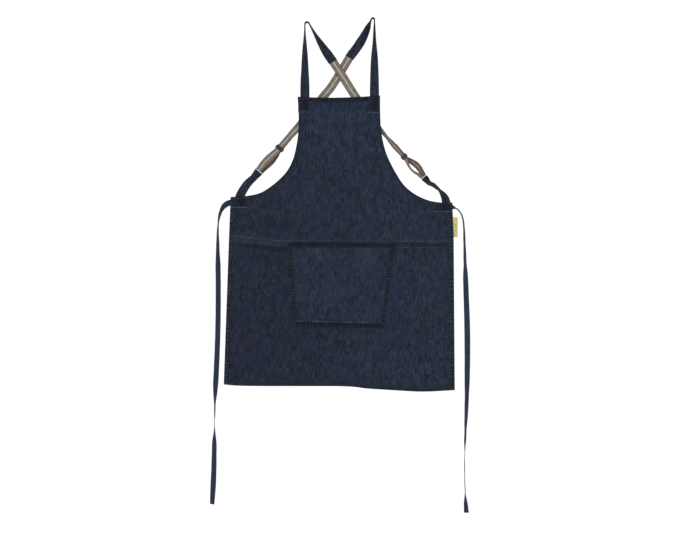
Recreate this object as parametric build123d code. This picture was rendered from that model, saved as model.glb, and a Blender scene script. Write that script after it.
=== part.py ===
from build123d import *
import math
import os

# Cross-back denim apron, hanging by its two shoulder straps from two round pegs.
# +Z is up, -Y is the front, +X is the right-hand side seen from the front.
# The origin is midway between the two pegs. All sizes are in millimetres.

# ---- cloth and layers ----
CLOTH = 1.2            # one layer of denim
HEM = 0.8              # what a folded hem adds to the cloth
PATCH = 1.0            # box-stitched patch
STRAP_THICK = 1.4      # denim strap, folded and sewn
STRAP_WIDE = 28.0
WEB_THICK = 1.2        # striped webbing
WEB_WIDE = 25.0
TIE_THICK = 1.2        # waist tie tape
TIE_WIDE = 18.0
CLEAR = 0.35           # between pieces that move past each other

FRONT = -CLOTH / 2     # front face of the main cloth
BACK = CLOTH / 2

# ---- pegs that hold the straps ----
PEG_X = 100.0          # half the distance between the pegs
PEG_RISE = 7.0         # the right-hand peg is this much above the origin, the left this much below
LEFT_PEG_R = 6.0
RIGHT_PEG_R = 4.0
PEG_FLAT = 7.0         # the strap lies square on for this far each side of its peg

# ---- cloth outline, left edge from the bib's top to the waist ----
BIB_TOP_LEFT = (-128.0, -227.5)
BIB_TOP_SAG = (-3.0, -230.0)
BIB_TOP_RIGHT = (121.0, -223.5)
LEFT_ARMHOLE = [BIB_TOP_LEFT, (-125, -290), (-128, -352), (-143, -419), (-173, -468), (-234, -516), (-290, -530),
                (-332, -532)]
RIGHT_ARMHOLE = [BIB_TOP_RIGHT, (122, -294), (126, -342), (143, -407), (182, -480), (216, -516), (261, -540),
                 (304, -549), (341, -549)]
WAIST_Z = -659.0       # line of the waist seam, where the skirt folds
WAIST_GAP = 1.6        # cloth edge to waist line
LEFT_WAIST_X = -337.0
RIGHT_WAIST_X = 345.0
BOTTOM = [(-353, -1100), (-280, -1104), (0, -1105), (85, -1112), (180, -1118), (255, -1121), (348.5, -1117)]

# ---- hems ----
EDGE_HEM = 8.0
TOP_HEM = 15.0
BOTTOM_HEM = 12.0
SKIRT_SIDE_HEM = 9.0
WAIST_BAND = 15.0

# ---- pocket ----
POCKET_TOP_Z = WAIST_Z - 12.5
POCKET_TOP_X = (-156.5, 165.5)
POCKET_BOTTOM = ((-140.0, POCKET_TOP_Z - 249.5), (134.0, POCKET_TOP_Z - 255.5))
POCKET_ROOM = 6.2      # room for the hand between cloth and pocket
POCKET_HEM = 15.0
POCKET_FOOT = 16.0
TACK = (9.0, 3.0, 0.8)

# ---- shoulder straps ----
SEWN_DOWN = 46.0       # strap end sewn behind the bib
LEFT_LEAN = 32.1       # back leg's angle from vertical
RIGHT_LEAN = 30.0
LEFT_DENIM = 140.0     # denim part of the back leg, from the peg
RIGHT_DENIM = 135.0
SEAM_LAP = 20.0        # webbing sewn under the denim's end
LEFT_BACK_Y = 0.6      # how far each back leg lies behind its front leg at the denim's end
RIGHT_BACK_Y = 4.4

# ---- adjusters ----
SLIDER_LENGTH = 12.0
SLIDER_RAIL = 2.65
SLIDER_BAR = 1.6
SLIDER_PIN = 0.7
SLIDER_WIDE = WEB_WIDE + 2 * CLEAR + 2 * SLIDER_RAIL
SLIDER_UP = 35.0
SLIDER_DOWN = 12.0
LAYER_STEP = WEB_THICK + SLIDER_PIN + 2 * CLEAR   # centre to centre of the two webbing layers in the slider
LOOP_AT = 82.0         # slider to the centre of the webbing's bend
LOOP_R = 4.5           # inside radius of the bend
RING_WIRE = 1.3        # radius of the ring's wire
RING_INSIDE = max(STRAP_WIDE, WEB_WIDE) + 2.0
RING_TALL = 11.0       # between the bars' centres
RING_SWING = 10.0      # degrees each way
RING_BAR_AT = LOOP_AT + LOOP_R - RING_WIRE - CLEAR
TAB_PLAY = 1.2         # the bar sits this far above the fold's centre
TAB_SWAY = RING_TALL * math.sin(math.radians(RING_SWING))
TAB_FOLD_R = RING_WIRE + CLEAR + math.hypot(TAB_PLAY, TAB_SWAY)   # inside radius of the tab's fold
TAB_THICK = 2 * STRAP_THICK
TAB_Y = BACK + TAB_THICK / 2
LEFT_SLIDER = Vector(-184.0, 9.0, -382.7)
LEFT_RUN = (-0.652, -0.758)
LEFT_ROLL = 38.0
RIGHT_SLIDER = Vector(194.6, 13.5, -408.6)
RIGHT_RUN = (0.659, -0.752)
RIGHT_ROLL = 65.0

# ---- side label ----
LABEL_WIDE = 12.0
LABEL_TOP = -593.0
LABEL_TALL = 61.0
LABEL_THICK = 0.6

# ---- free waist ties: hand-set route of each tape's centre line, from the corner down ----
TIE_Y = BACK + TAB_THICK + CLEAR + TIE_THICK / 2
LEFT_TIE = [(-322, -546), (-338, -549), (-355, -560), (-367, -581), (-373, -616), (-372.5, -680), (-371, -800),
            (-372.5, -930), (-376, -1040), (-380.5, -1140), (-381.5, -1225), (-382.5, -1305), (-384, -1385), (-389, -1466)]
RIGHT_TIE = [(332, -560), (346, -564), (360, -576), (370, -596), (376, -630), (379, -700), (382.5, -810),
             (386.5, -930), (386, -1050), (384, -1160), (381, -1255), (378.5, -1345), (380.5, -1425), (385, -1492)]


def vec(x, z, y=0.0):
    """A point in front view, with its depth."""
    return Vector(x, y, z)


def layer(outline, front, back):
    """A flat piece of the front-view outline, from front to back."""
    plane = Plane(origin=(0, back, 0), x_dir=(1, 0, 0), z_dir=(0, -1, 0))
    return extrude(plane * outline, amount=back - front, dir=(0, -1, 0))


def polygon(*points):
    """A flat face from its corners."""
    return make_face(Polyline(*points, close=True))


def curve(points):
    """One smooth edge, or a straight one between two points."""
    if len(points) == 2:
        return Line(*points)
    return Spline(*points)


def strip(points, width):
    """A band that follows an edge, its inner side moved to the left of the way the points run."""
    inner = []
    for i, (x, z) in enumerate(points):
        ahead = points[min(i + 1, len(points) - 1)]
        behind = points[max(i - 1, 0)]
        run = math.hypot(ahead[0] - behind[0], ahead[1] - behind[1])
        inner.append((x - width * (ahead[1] - behind[1]) / run, z + width * (ahead[0] - behind[0]) / run))
    first = Line(inner[0], points[0])
    last = Line(points[-1], inner[-1])
    return make_face([first, curve(points), last, curve(inner[::-1])])


def band(stations, width, thick):
    """A tape through stations of (centre, run, width direction)."""
    sections = []
    for centre, run, across in stations:
        sections.append(Plane(origin=centre, x_dir=across, z_dir=run) * Rectangle(width, thick))
    return loft(sections, ruled=True)


def rolled(run, roll, side, turn):
    """Width direction of a tape that runs along run in the front view, rolled from flat about its own length."""
    flat = Vector(side * -run.Z, 0, side * run.X)
    angle = math.radians(roll)
    return flat * math.cos(angle) + Vector(0, turn, 0) * math.sin(angle)


# ================= cloth =================
def bib_panel():
    left_side = Line(LEFT_ARMHOLE[-1], (LEFT_WAIST_X, WAIST_Z + WAIST_GAP))
    waist = Line((LEFT_WAIST_X, WAIST_Z + WAIST_GAP), (RIGHT_WAIST_X, WAIST_Z + WAIST_GAP))
    right_side = Line((RIGHT_WAIST_X, WAIST_Z + WAIST_GAP), RIGHT_ARMHOLE[-1])
    top = ThreePointArc(BIB_TOP_RIGHT, BIB_TOP_SAG, BIB_TOP_LEFT)
    outline = make_face([curve(LEFT_ARMHOLE), left_side, waist, right_side, curve(RIGHT_ARMHOLE[::-1]), top])
    return layer(outline, FRONT, BACK)


def skirt_panel():
    high = WAIST_Z - WAIST_GAP
    top = Line((RIGHT_WAIST_X, high), (LEFT_WAIST_X, high))
    left = Line((LEFT_WAIST_X, high), BOTTOM[0])
    right = Line(BOTTOM[-1], (RIGHT_WAIST_X, high))
    return layer(make_face([top, left, curve(BOTTOM), right]), FRONT, BACK)


def top_band(rise):
    """The band below the bib's top edge, or with a rise all that is above that band's lower edge."""
    points = [BIB_TOP_LEFT, BIB_TOP_SAG, BIB_TOP_RIGHT]
    high = [(x * (1 + rise / abs(points[0][0])), z + rise) for x, z in points]
    low = [(x, z - TOP_HEM) for x, z in points]
    return make_face([ThreePointArc(*high), Line(high[-1], low[-1]), ThreePointArc(*low[::-1]),
                      Line(low[0], high[0])])


def bib_top_hem():
    return layer(top_band(0), FRONT - HEM, FRONT)


def bib_edge_hem(armhole, waist_x, width):
    side = [armhole[-1], (waist_x, WAIST_Z + WAIST_GAP)]
    hem = layer(strip(armhole, width), FRONT - HEM, FRONT) + layer(strip(side, width), FRONT - HEM, FRONT)
    return hem - layer(top_band(EDGE_HEM), FRONT - 2 * HEM, FRONT + HEM)


def waist_band():
    high = WAIST_Z - WAIST_GAP
    low = high - WAIST_BAND
    return layer(polygon((LEFT_WAIST_X, high), (RIGHT_WAIST_X, high), (RIGHT_WAIST_X, low), (LEFT_WAIST_X, low)),
                 FRONT - HEM, FRONT)


def skirt_side_hem(waist_x, bottom, inward, others):
    high = WAIST_Z - WAIST_GAP
    hem = layer(polygon((waist_x, high), bottom, (bottom[0] + inward, bottom[1]), (waist_x + inward, high)),
                FRONT - HEM, FRONT)
    for other in others:
        hem = hem - other
    return hem


def bottom_hem():
    return layer(strip(BOTTOM, BOTTOM_HEM), FRONT - HEM, FRONT)


def patch(left, right, bottom, top):
    face = FRONT - HEM
    return layer(polygon((left, bottom), (right, bottom), (right, top), (left, top)), face - PATCH, face)


# ================= pocket =================
POCKET_BACK = FRONT - HEM
POCKET_FACE = POCKET_BACK - POCKET_ROOM + HEM - CLOTH


def pocket_outline(inset, top):
    (left, right), ((foot_left, low_left), (foot_right, low_right)) = POCKET_TOP_X, POCKET_BOTTOM
    return polygon((left + inset, top), (foot_left + inset, low_left + inset), (foot_right - inset, low_right + inset),
                   (right - inset, top))


def pocket_row(z, drop):
    """The pocket's two side points at a height below its top."""
    (left, right), ((foot_left, low_left), (foot_right, low_right)) = POCKET_TOP_X, POCKET_BOTTOM
    share_left = (POCKET_TOP_Z - z + drop) / (POCKET_TOP_Z - low_left)
    share_right = (POCKET_TOP_Z - z + drop) / (POCKET_TOP_Z - low_right)
    return left + (foot_left - left) * share_left, right + (foot_right - right) * share_right


def pocket():
    shell = layer(pocket_outline(0, POCKET_TOP_Z), POCKET_FACE, FRONT)
    room = layer(pocket_outline(CLOTH, POCKET_TOP_Z + CLOTH), POCKET_FACE + CLOTH, FRONT)
    return shell - room - waist_band()


def pocket_top_hem():
    low = pocket_row(POCKET_TOP_Z, POCKET_HEM)
    (left, right), z = POCKET_TOP_X, POCKET_TOP_Z
    outline = polygon((left, z), (low[0], z - POCKET_HEM), (low[1], z - POCKET_HEM), (right, z))
    return layer(outline, POCKET_FACE - HEM, POCKET_FACE)


def pocket_bottom_hem():
    (foot_left, low_left), (foot_right, low_right) = POCKET_BOTTOM
    slope = (POCKET_TOP_X[0] - foot_left) / (POCKET_TOP_Z - low_left) * POCKET_FOOT
    slope_right = (POCKET_TOP_X[1] - foot_right) / (POCKET_TOP_Z - low_right) * POCKET_FOOT
    outline = polygon((foot_left + slope, low_left + POCKET_FOOT), (foot_left, low_left), (foot_right, low_right),
                      (foot_right + slope_right, low_right + POCKET_FOOT))
    return layer(outline, POCKET_FACE - HEM, POCKET_FACE)


def pocket_bar_tacks():
    wide, tall, thick = TACK
    tacks = []
    for x in (POCKET_TOP_X[0] + wide, POCKET_TOP_X[1] - wide):
        for drop in (tall, POCKET_HEM - tall):
            centre = Pos(x, POCKET_FACE - HEM - thick / 2, POCKET_TOP_Z - drop)
            tacks.append(centre * Box(wide, thick, tall))
    return Compound(children=tacks)


# ================= shoulder straps =================
def shoulder_strap(side, peg, radius, lean, denim, back_y, front_rolls, back_rolls):
    """Up from behind the bib, a quarter turn to lie on the peg, over it and down behind, a quarter turn back."""
    reach = radius + STRAP_THICK / 2
    depth = BACK + STRAP_THICK / 2
    up = Vector(0, 0, 1)
    front_x = peg[0] + side * reach
    stations = []
    for z, roll in front_rolls:
        stations.append((vec(front_x, z, depth), up, rolled(up, roll, 1, side)))
    for z in (peg[1] - PEG_FLAT, peg[1]):
        stations.append((vec(front_x, z, depth), up, Vector(0, side, 0)))
    front = band(stations, STRAP_WIDE, STRAP_THICK)
    angle = math.radians(lean)
    down = Vector(-side * math.sin(angle), 0, -math.cos(angle))
    out = Vector(-side * math.cos(angle), 0, math.sin(angle))
    leave = vec(peg[0], peg[1], depth) + out * reach
    stations = []
    for along, roll in [(0, 90), (PEG_FLAT, 90)] + back_rolls + [(denim, 0)]:
        centre = leave + down * along + Vector(0, back_y * along / denim, 0)
        stations.append((centre, down, rolled(down, roll, 1, side)))
    back = band(stations, STRAP_WIDE, STRAP_THICK)
    ring = Cylinder(radius + STRAP_THICK, STRAP_WIDE) - Cylinder(radius, STRAP_WIDE)
    ring = Plane(origin=vec(peg[0], peg[1], depth), x_dir=(1, 0, 0), z_dir=(0, -1, 0)) * ring
    far = 3 * reach
    wedge = polygon(peg, (peg[0] + side * far, peg[1]), (peg[0] + side * far, peg[1] + far),
                    (peg[0] - side * far, peg[1] + far), (peg[0] + out.X * far, peg[1] + out.Z * far))
    arch = ring & layer(wedge, depth - STRAP_WIDE, depth + STRAP_WIDE)
    return front + arch + back, leave, down


LEFT_PEG = (-PEG_X, -PEG_RISE)
RIGHT_PEG = (PEG_X, PEG_RISE)
LEFT_FRONT_ROLLS = [(BIB_TOP_LEFT[1] - SEWN_DOWN, 0), (-228, 0), (-185, 15), (-149, 38), (-112, 50), (-85, 60),
                    (-57, 73), (-39, 82)]
RIGHT_FRONT_ROLLS = [(BIB_TOP_RIGHT[1] - SEWN_DOWN, 0), (-150, 0), (-112, 20), (-85, 42), (-57, 63), (-30, 80)]
LEFT_BACK_ROLLS = [(22, 84), (42, 74), (60, 60), (80, 46), (100, 28), (LEFT_DENIM - SEAM_LAP - 2, 0)]
RIGHT_BACK_ROLLS = [(16, 74), (26, 58), (46, 42), (67, 22), (86, 0), (RIGHT_DENIM - SEAM_LAP - 2, 0)]


# ================= webbing, slider, ring and tab =================
class Adjuster:
    """The lower end of one webbing: a straight run through the slider, then the bend that holds the ring."""

    def __init__(self, slider, run, roll, side):
        self.slider = slider
        self.run = Vector(run[0], 0, run[1]).normalized()
        self.normal = self.turned(Vector(side * -self.run.Z, 0, side * self.run.X), roll)
        self.across = self.run.cross(self.normal)
        self.flat = Plane(origin=slider, x_dir=self.run, z_dir=self.across)

    @staticmethod
    def turned(sideways, roll):
        angle = math.radians(roll)
        return sideways * math.sin(angle) + Vector(0, math.cos(angle), 0)

    def at(self, along, out):
        return self.slider + self.run * along + self.normal * out

    def profile(self, outline, width):
        """A front-to-back outline in the slider's own plane, as wide as given."""
        return extrude(self.flat * outline, amount=width / 2, both=True)


def tape_profile(points, radii, thick):
    """Outline of a tape seen on its edge."""
    return trace(FilletPolyline(*points, radius=radii), thick)


def webbing(adjuster, stations):
    """Sewn under the denim's end, behind the bib, through the slider, round the ring and back."""
    straight = SLIDER_UP + SLIDER_LENGTH
    begin = adjuster.at(-straight, 0)
    upper = band(stations + [(begin, adjuster.run, adjuster.across)], WEB_WIDE, WEB_THICK)
    bend = LOOP_R + WEB_THICK / 2
    slack = SLIDER_DOWN + SLIDER_LENGTH
    down = Line((-straight, 0), (LOOP_AT, 0))
    turn = ThreePointArc((LOOP_AT, 0), (LOOP_AT + bend, bend), (LOOP_AT, 2 * bend))
    back = Line((LOOP_AT, 2 * bend), (slack, LAYER_STEP))
    tail = Line((slack, LAYER_STEP), (2 - straight, LAYER_STEP))
    lower = Sketch()
    for piece in (down, turn, back, tail):
        lower += trace(piece, WEB_THICK)
    return upper + adjuster.profile(lower, WEB_WIDE)


def slider_frame(adjuster):
    """Two front bars, a back bar and two side rails round both layers of webbing."""
    low = -WEB_THICK / 2 - CLEAR
    high = LAYER_STEP + WEB_THICK / 2 + CLEAR
    bar = SLIDER_BAR
    half = SLIDER_LENGTH / 2
    frame = adjuster.profile(Pos(-half + 1.4, low - bar / 2) * Rectangle(2.8, bar), SLIDER_WIDE)
    frame += adjuster.profile(Pos(half - 1.4, low - bar / 2) * Rectangle(2.8, bar), SLIDER_WIDE)
    frame += adjuster.profile(Pos(0, high + bar / 2) * Rectangle(3.2, bar), SLIDER_WIDE)
    side = Pos(0, (low + high) / 2) * RectangleRounded(SLIDER_LENGTH, high - low + 2 * bar, 1.2)
    rails = adjuster.profile(side, SLIDER_WIDE) - adjuster.profile(side, SLIDER_WIDE - 2 * SLIDER_RAIL)
    return frame + rails


def slider_bar(adjuster):
    """The pin across the slider, between the two layers."""
    middle = Pos(0, LAYER_STEP / 2) * RectangleRounded(2.4, SLIDER_PIN, SLIDER_PIN * 0.3)
    return adjuster.profile(middle, WEB_WIDE + 2 * CLEAR)


def ring(adjuster):
    """Rectangular wire ring, its upper bar in the webbing's bend and its lower bar in the tab's fold."""
    wide = RING_INSIDE + 2 * RING_WIRE
    middle = adjuster.at(RING_BAR_AT + RING_TALL / 2, LOOP_R + WEB_THICK / 2)
    plane = Plane(origin=middle, x_dir=adjuster.across, z_dir=adjuster.normal)
    path = plane * RectangleRounded(wide, RING_TALL, RING_WIRE * 1.6).wire()
    start = path @ 0
    return sweep(Plane(origin=start, z_dir=path % 0) * Circle(RING_WIRE), path=path)


def side_tab(adjuster, stations):
    """Denim strip folded round the ring and sewn down behind the apron's corner."""
    centre = (RING_BAR_AT + RING_TALL + TAB_PLAY, LOOP_R + WEB_THICK / 2)
    fold = Pos(*centre) * (Circle(TAB_FOLD_R + STRAP_THICK) - Circle(TAB_FOLD_R))
    start = adjuster.at(centre[0] + TAB_FOLD_R + STRAP_THICK / 2, centre[1])
    first = (start, adjuster.run, adjuster.across)
    return adjuster.profile(fold, STRAP_WIDE) + band([first] + stations, STRAP_WIDE, TAB_THICK)


# ================= ties and label =================
def tie(points, name):
    """A flat tape that hangs free behind the corner: straight runs joined by tangent arcs."""
    places = [Vector(x, z) for x, z in points]
    radii = []
    for a, b, c in zip(places, places[1:], places[2:]):
        turn = math.radians((b - a).get_angle(c - b))
        radii.append(0.45 * min((b - a).length, (c - b).length) / math.tan(turn / 2))
    path = FilletPolyline(*points, radius=radii)
    tape = layer(trace(path, TIE_WIDE), TIE_Y - TIE_THICK / 2, TIE_Y + TIE_THICK / 2)
    print(name, "length", round(path.length, 1), "radii", [round(r) for r in radii])
    print(name, "volume", round(tape.volume), "section x length", round(path.length * TIE_WIDE * TIE_THICK))
    return tape


def side_label():
    """A woven label caught in the right-hand side seam, free to flip about it."""
    start = RIGHT_WAIST_X + 2 * CLEAR
    low = LABEL_TOP - LABEL_TALL
    outline = polygon((start, low), (start + LABEL_WIDE, low), (start + LABEL_WIDE, LABEL_TOP), (start, LABEL_TOP))
    return layer(outline, -LABEL_THICK / 2, LABEL_THICK / 2)


def build():
    parts = {}
    parts["bib_panel"] = bib_panel()
    parts["bib_top_hem"] = bib_top_hem()
    parts["left_bib_edge_hem"] = bib_edge_hem(LEFT_ARMHOLE, LEFT_WAIST_X, EDGE_HEM)
    parts["right_bib_edge_hem"] = bib_edge_hem(RIGHT_ARMHOLE, RIGHT_WAIST_X, -EDGE_HEM)
    parts["left_strap_patch"] = patch(-127, -91, -276, -232)
    parts["right_strap_patch"] = patch(83, 120, -278, -230)
    parts["left_corner_patch"] = patch(-331, -283, -565, -534)
    parts["right_corner_patch"] = patch(284, 341, -578, -551)

    parts["skirt_panel"] = skirt_panel()
    parts["waist_band"] = waist_band()
    parts["bottom_hem"] = bottom_hem()
    others = (parts["waist_band"], parts["bottom_hem"])
    parts["left_skirt_hem"] = skirt_side_hem(LEFT_WAIST_X, BOTTOM[0], SKIRT_SIDE_HEM, others)
    parts["right_skirt_hem"] = skirt_side_hem(RIGHT_WAIST_X, BOTTOM[-1], -SKIRT_SIDE_HEM, others)
    parts["pocket"] = pocket()
    parts["pocket_top_hem"] = pocket_top_hem()
    parts["pocket_bottom_hem"] = pocket_bottom_hem()
    parts["pocket_bar_tacks"] = pocket_bar_tacks()

    strap, left_leave, left_down = shoulder_strap(-1, LEFT_PEG, LEFT_PEG_R, LEFT_LEAN, LEFT_DENIM, LEFT_BACK_Y,
                                                  LEFT_FRONT_ROLLS, LEFT_BACK_ROLLS)
    parts["left_shoulder_strap"] = strap
    strap, right_leave, right_down = shoulder_strap(1, RIGHT_PEG, RIGHT_PEG_R, RIGHT_LEAN, RIGHT_DENIM, RIGHT_BACK_Y,
                                                    RIGHT_FRONT_ROLLS, RIGHT_BACK_ROLLS)
    parts["right_shoulder_strap"] = strap

    # The webbing of each strap crosses over to the other side of the apron.
    left = Adjuster(LEFT_SLIDER, LEFT_RUN, LEFT_ROLL, 1)
    right = Adjuster(RIGHT_SLIDER, RIGHT_RUN, RIGHT_ROLL, 1)
    lap = (STRAP_THICK + WEB_THICK) / 2
    sewn = []
    for leave, down, denim, back_y in ((right_leave, right_down, RIGHT_DENIM, RIGHT_BACK_Y),
                                       (left_leave, left_down, LEFT_DENIM, LEFT_BACK_Y)):
        for along in (denim - SEAM_LAP, denim):
            depth = back_y * along / denim + lap
            sewn.append((leave + down * along + Vector(0, depth, 0), down, rolled(down, 0, 1, 1)))
    parts["left_webbing"] = webbing(left, sewn[:2] + [
        (vec(-21, -185, 7.4), *heading((-0.57, -0.82), 0)),
        (vec(-50, -222, 7.6), *heading((-0.61, -0.79), 0)),
        (vec(-100, -286, 8.2), *heading((-0.62, -0.78), -10)),
        (vec(-124, -315, 8.8), *heading((-0.64, -0.77), -20))])
    parts["right_webbing"] = webbing(right, sewn[2:] + [
        (vec(6, -163, 3.4), *heading((0.532, -0.847), 0)),
        (vec(45.6, -226, 4.0), *heading((0.55, -0.835), 0)),
        (vec(90, -287, 7.0), *heading((0.62, -0.785), -12)),
        (vec(118, -320, 10.5), *heading((0.645, -0.765), -32)),
        (vec(138, -343, 13.0), *heading((0.655, -0.757), -48))])
    for name, adjuster, stations in (
            ("left", left, [(vec(-278, -494, 8.0), *heading((-0.6, -0.8), -18)),
                            (vec(-302, -529, TAB_Y), *heading((-0.45, -0.89), 0)),
                            (vec(-309, -560, TAB_Y), *heading((-0.2, -0.98), 0))]),
            ("right", right, [(vec(293, -507, 9.0), *heading((0.68, -0.73), -80)),
                              (vec(316, -541, TAB_Y), *heading((0.45, -0.89), 0)),
                              (vec(322, -574, TAB_Y), *heading((0.15, -0.99), 0))])):
        parts[name + "_slider"] = slider_frame(adjuster)
        parts[name + "_slider_bar"] = slider_bar(adjuster)
        parts[name + "_ring"] = ring(adjuster)
        parts[name + "_side_tab"] = side_tab(adjuster, stations)
        upper_bar = adjuster.at(RING_BAR_AT, LOOP_R + WEB_THICK / 2)
        print(name, "run", adjuster.run, "across", adjuster.across, "normal", adjuster.normal)
        print(name, "ring upper bar", upper_bar)

    parts["left_tie"] = tie(LEFT_TIE, "left_tie")
    parts["right_tie"] = tie(RIGHT_TIE, "right_tie")
    parts["side_label"] = side_label()
    return parts


def heading(run, roll):
    """Run and width direction of a tape at a station, rolled from lying flat; positive brings its right edge back."""
    along = Vector(run[0], 0, run[1]).normalized()
    flat = Vector(-along.Z, 0, along.X)
    angle = math.radians(roll)
    return along, flat * math.cos(angle) + Vector(0, math.sin(angle), 0)


if __name__ == "__main__":
    os.makedirs("parts", exist_ok=True)
    for node, shape in build().items():
        export_step(shape, f"parts/{node}.step")
        print(node, len(shape.solids()), "solids, volume", round(shape.volume))
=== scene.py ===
"""Cross-back denim apron hanging by its shoulder straps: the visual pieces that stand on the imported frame.

The cloth and hardware are shaped in millimetres, which mm() and piece() turn into the scene's metres.
"""

import math

import bmesh
import bpy
import numpy as np
from mathutils import Matrix, Vector


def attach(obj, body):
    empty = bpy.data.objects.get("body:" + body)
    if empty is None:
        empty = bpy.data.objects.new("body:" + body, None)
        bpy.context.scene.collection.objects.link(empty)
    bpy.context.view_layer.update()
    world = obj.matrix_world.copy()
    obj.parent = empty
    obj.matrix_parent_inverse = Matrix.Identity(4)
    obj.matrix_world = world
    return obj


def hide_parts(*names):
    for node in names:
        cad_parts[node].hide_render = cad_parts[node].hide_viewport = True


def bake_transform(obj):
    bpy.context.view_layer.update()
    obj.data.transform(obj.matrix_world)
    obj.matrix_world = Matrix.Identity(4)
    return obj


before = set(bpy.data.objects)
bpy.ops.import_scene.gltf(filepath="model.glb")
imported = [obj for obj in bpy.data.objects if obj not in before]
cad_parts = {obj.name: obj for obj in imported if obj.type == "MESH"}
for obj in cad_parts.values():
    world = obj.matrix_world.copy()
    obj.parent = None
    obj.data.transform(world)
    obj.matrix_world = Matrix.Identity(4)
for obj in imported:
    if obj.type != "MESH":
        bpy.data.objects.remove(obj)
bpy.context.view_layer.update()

MM = 0.001

# ---- layers, as the frame has them ----
CLOTH = 1.2
HEM = 0.8
STRAP_THICK = 1.4
STRAP_WIDE = 28.0
WEB_THICK = 1.2
WEB_WIDE = 25.0
TIE_THICK = 1.2
TIE_WIDE = 18.0
BACK = CLOTH / 2

# ---- outline: x, z ----
BIB_TOP_LEFT = (-128.0, -227.5)
BIB_TOP_RIGHT = (121.0, -223.5)
BIB_TOP_SAG = 4.6
LEFT_ARMHOLE = [BIB_TOP_LEFT, (-125, -290), (-128, -352), (-143, -419), (-173, -468), (-234, -516),
                (-290, -530), (-332, -532)]
RIGHT_ARMHOLE = [BIB_TOP_RIGHT, (122, -294), (126, -342), (143, -407), (182, -480), (216, -516), (261, -540),
                 (304, -549), (341, -549)]
WAIST_Z = -659.0
LEFT_WAIST_X = -337.0
RIGHT_WAIST_X = 345.0
BOTTOM = [(-353, -1100), (-280, -1104), (0, -1105), (85, -1112), (180, -1118), (255, -1121), (348.5, -1117)]
POCKET_TOP = ((-156.5, -671.5), (165.5, -671.5))
POCKET_BOTTOM = ((-140.0, -921.0), (134.0, -927.0))

# ---- free waist ties: route of each tape's centre line, x and z, from the corner down ----
TIE_Y = 4.35
LEFT_TIE = [(-322, -546), (-338, -548), (-355, -559), (-366, -581), (-372, -616), (-372, -680), (-370, -800),
            (-371, -930), (-375, -1040), (-380.5, -1140), (-381.5, -1225), (-382.5, -1305), (-384, -1385),
            (-389, -1466)]
RIGHT_TIE = [(332, -560), (346, -562), (364, -572), (375, -596), (378, -632), (379.5, -700), (383, -810),
             (387.5, -930), (387.5, -1050), (385.5, -1160), (381, -1255), (378.5, -1345), (380, -1425),
             (384.5, -1492)]


# ================= studio =================
def mm(*point):
    """A point in millimetres, as the scene's metres."""
    return tuple(value * MM for value in point)


def soft_light(name, place, aim, size, power):
    """A square soft box that points at a place."""
    lamp = bpy.data.lights.new(name, "AREA")
    lamp.size = size
    lamp.energy = power
    obj = bpy.data.objects.new(name, lamp)
    obj.location = place
    obj.rotation_euler = (Vector(aim) - Vector(place)).to_track_quat("-Z", "Y").to_euler()
    bpy.context.collection.objects.link(obj)


def studio():
    """Camera square on to the apron, white background, pale floor and large soft lights."""
    camera = bpy.data.cameras.new("camera")
    camera.sensor_width = 36
    camera.lens = 104.5
    camera.clip_end = 60
    obj = bpy.data.objects.new("camera", camera)
    obj.location = (0, -6, -0.7445)
    obj.rotation_euler = (math.radians(90), 0, 0)
    bpy.context.collection.objects.link(obj)
    bpy.context.scene.camera = obj

    bpy.ops.object.select_all(action="DESELECT")
    bpy.ops.mesh.primitive_plane_add(size=7.6, location=(0, 0, -2.1))
    floor = bpy.context.object
    floor.name = "floor"
    pale = bpy.data.materials.new("pale_floor")
    pale.use_nodes = True
    shader = pale.node_tree.nodes["Principled BSDF"]
    shader.inputs["Base Color"].default_value = (0.84, 0.84, 0.83, 1)
    shader.inputs["Roughness"].default_value = 0.7
    floor.data.materials.append(pale)

    world = bpy.data.worlds.new("studio")
    bpy.context.scene.world = world
    world.use_nodes = True
    nodes, links = world.node_tree.nodes, world.node_tree.links
    nodes.clear()
    out = nodes.new("ShaderNodeOutputWorld")
    mix = nodes.new("ShaderNodeMixShader")
    seen = nodes.new("ShaderNodeLightPath")
    room = nodes.new("ShaderNodeBackground")
    room.inputs["Color"].default_value = (1, 1, 1, 1)
    room.inputs["Strength"].default_value = 0.55
    backdrop = nodes.new("ShaderNodeBackground")
    backdrop.inputs["Color"].default_value = (1, 1, 1, 1)
    backdrop.inputs["Strength"].default_value = 1.05
    links.new(seen.outputs["Is Camera Ray"], mix.inputs[0])
    links.new(room.outputs[0], mix.inputs[1])
    links.new(backdrop.outputs[0], mix.inputs[2])
    links.new(mix.outputs[0], out.inputs[0])
    bpy.context.scene.view_settings.view_transform = "Standard"

    soft_light("key", (-2.2, -4.2, 1.6), (0, 0, -0.7), 2.2, 130)
    soft_light("fill", (2.8, -3.8, -0.4), (0, 0, -0.8), 2.6, 60)
    soft_light("back", (1.6, 3.6, 1.2), (0, 0, -0.7), 2.4, 90)


studio()


# ================= lines and meshes =================
def smooth_line(points, count):
    """Evenly spaced points on a smooth line through the given ones."""
    p = np.array(points, float)
    p = np.vstack([2 * p[0] - p[1], p, 2 * p[-1] - p[-2]])
    t = np.linspace(0, 1, 24, endpoint=False)[:, None]
    pieces = []
    for a, b, c, d in zip(p, p[1:], p[2:], p[3:]):
        pieces.append(0.5 * (2 * b + (c - a) * t + (2 * a - 5 * b + 4 * c - d) * t * t
                             + (3 * b - a - 3 * c + d) * t ** 3))
    return even(np.vstack(pieces + [p[-2:-1]]), count)


def lengths(line):
    """Length along a line at each of its points."""
    return np.concatenate([[0], np.cumsum(np.linalg.norm(np.diff(line, axis=0), axis=1))])


def even(line, count):
    """The same line with evenly spaced points."""
    along = lengths(line)
    at = np.linspace(0, along[-1], count)
    return np.column_stack([np.interp(at, along, line[:, k]) for k in range(line.shape[1])])


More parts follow.
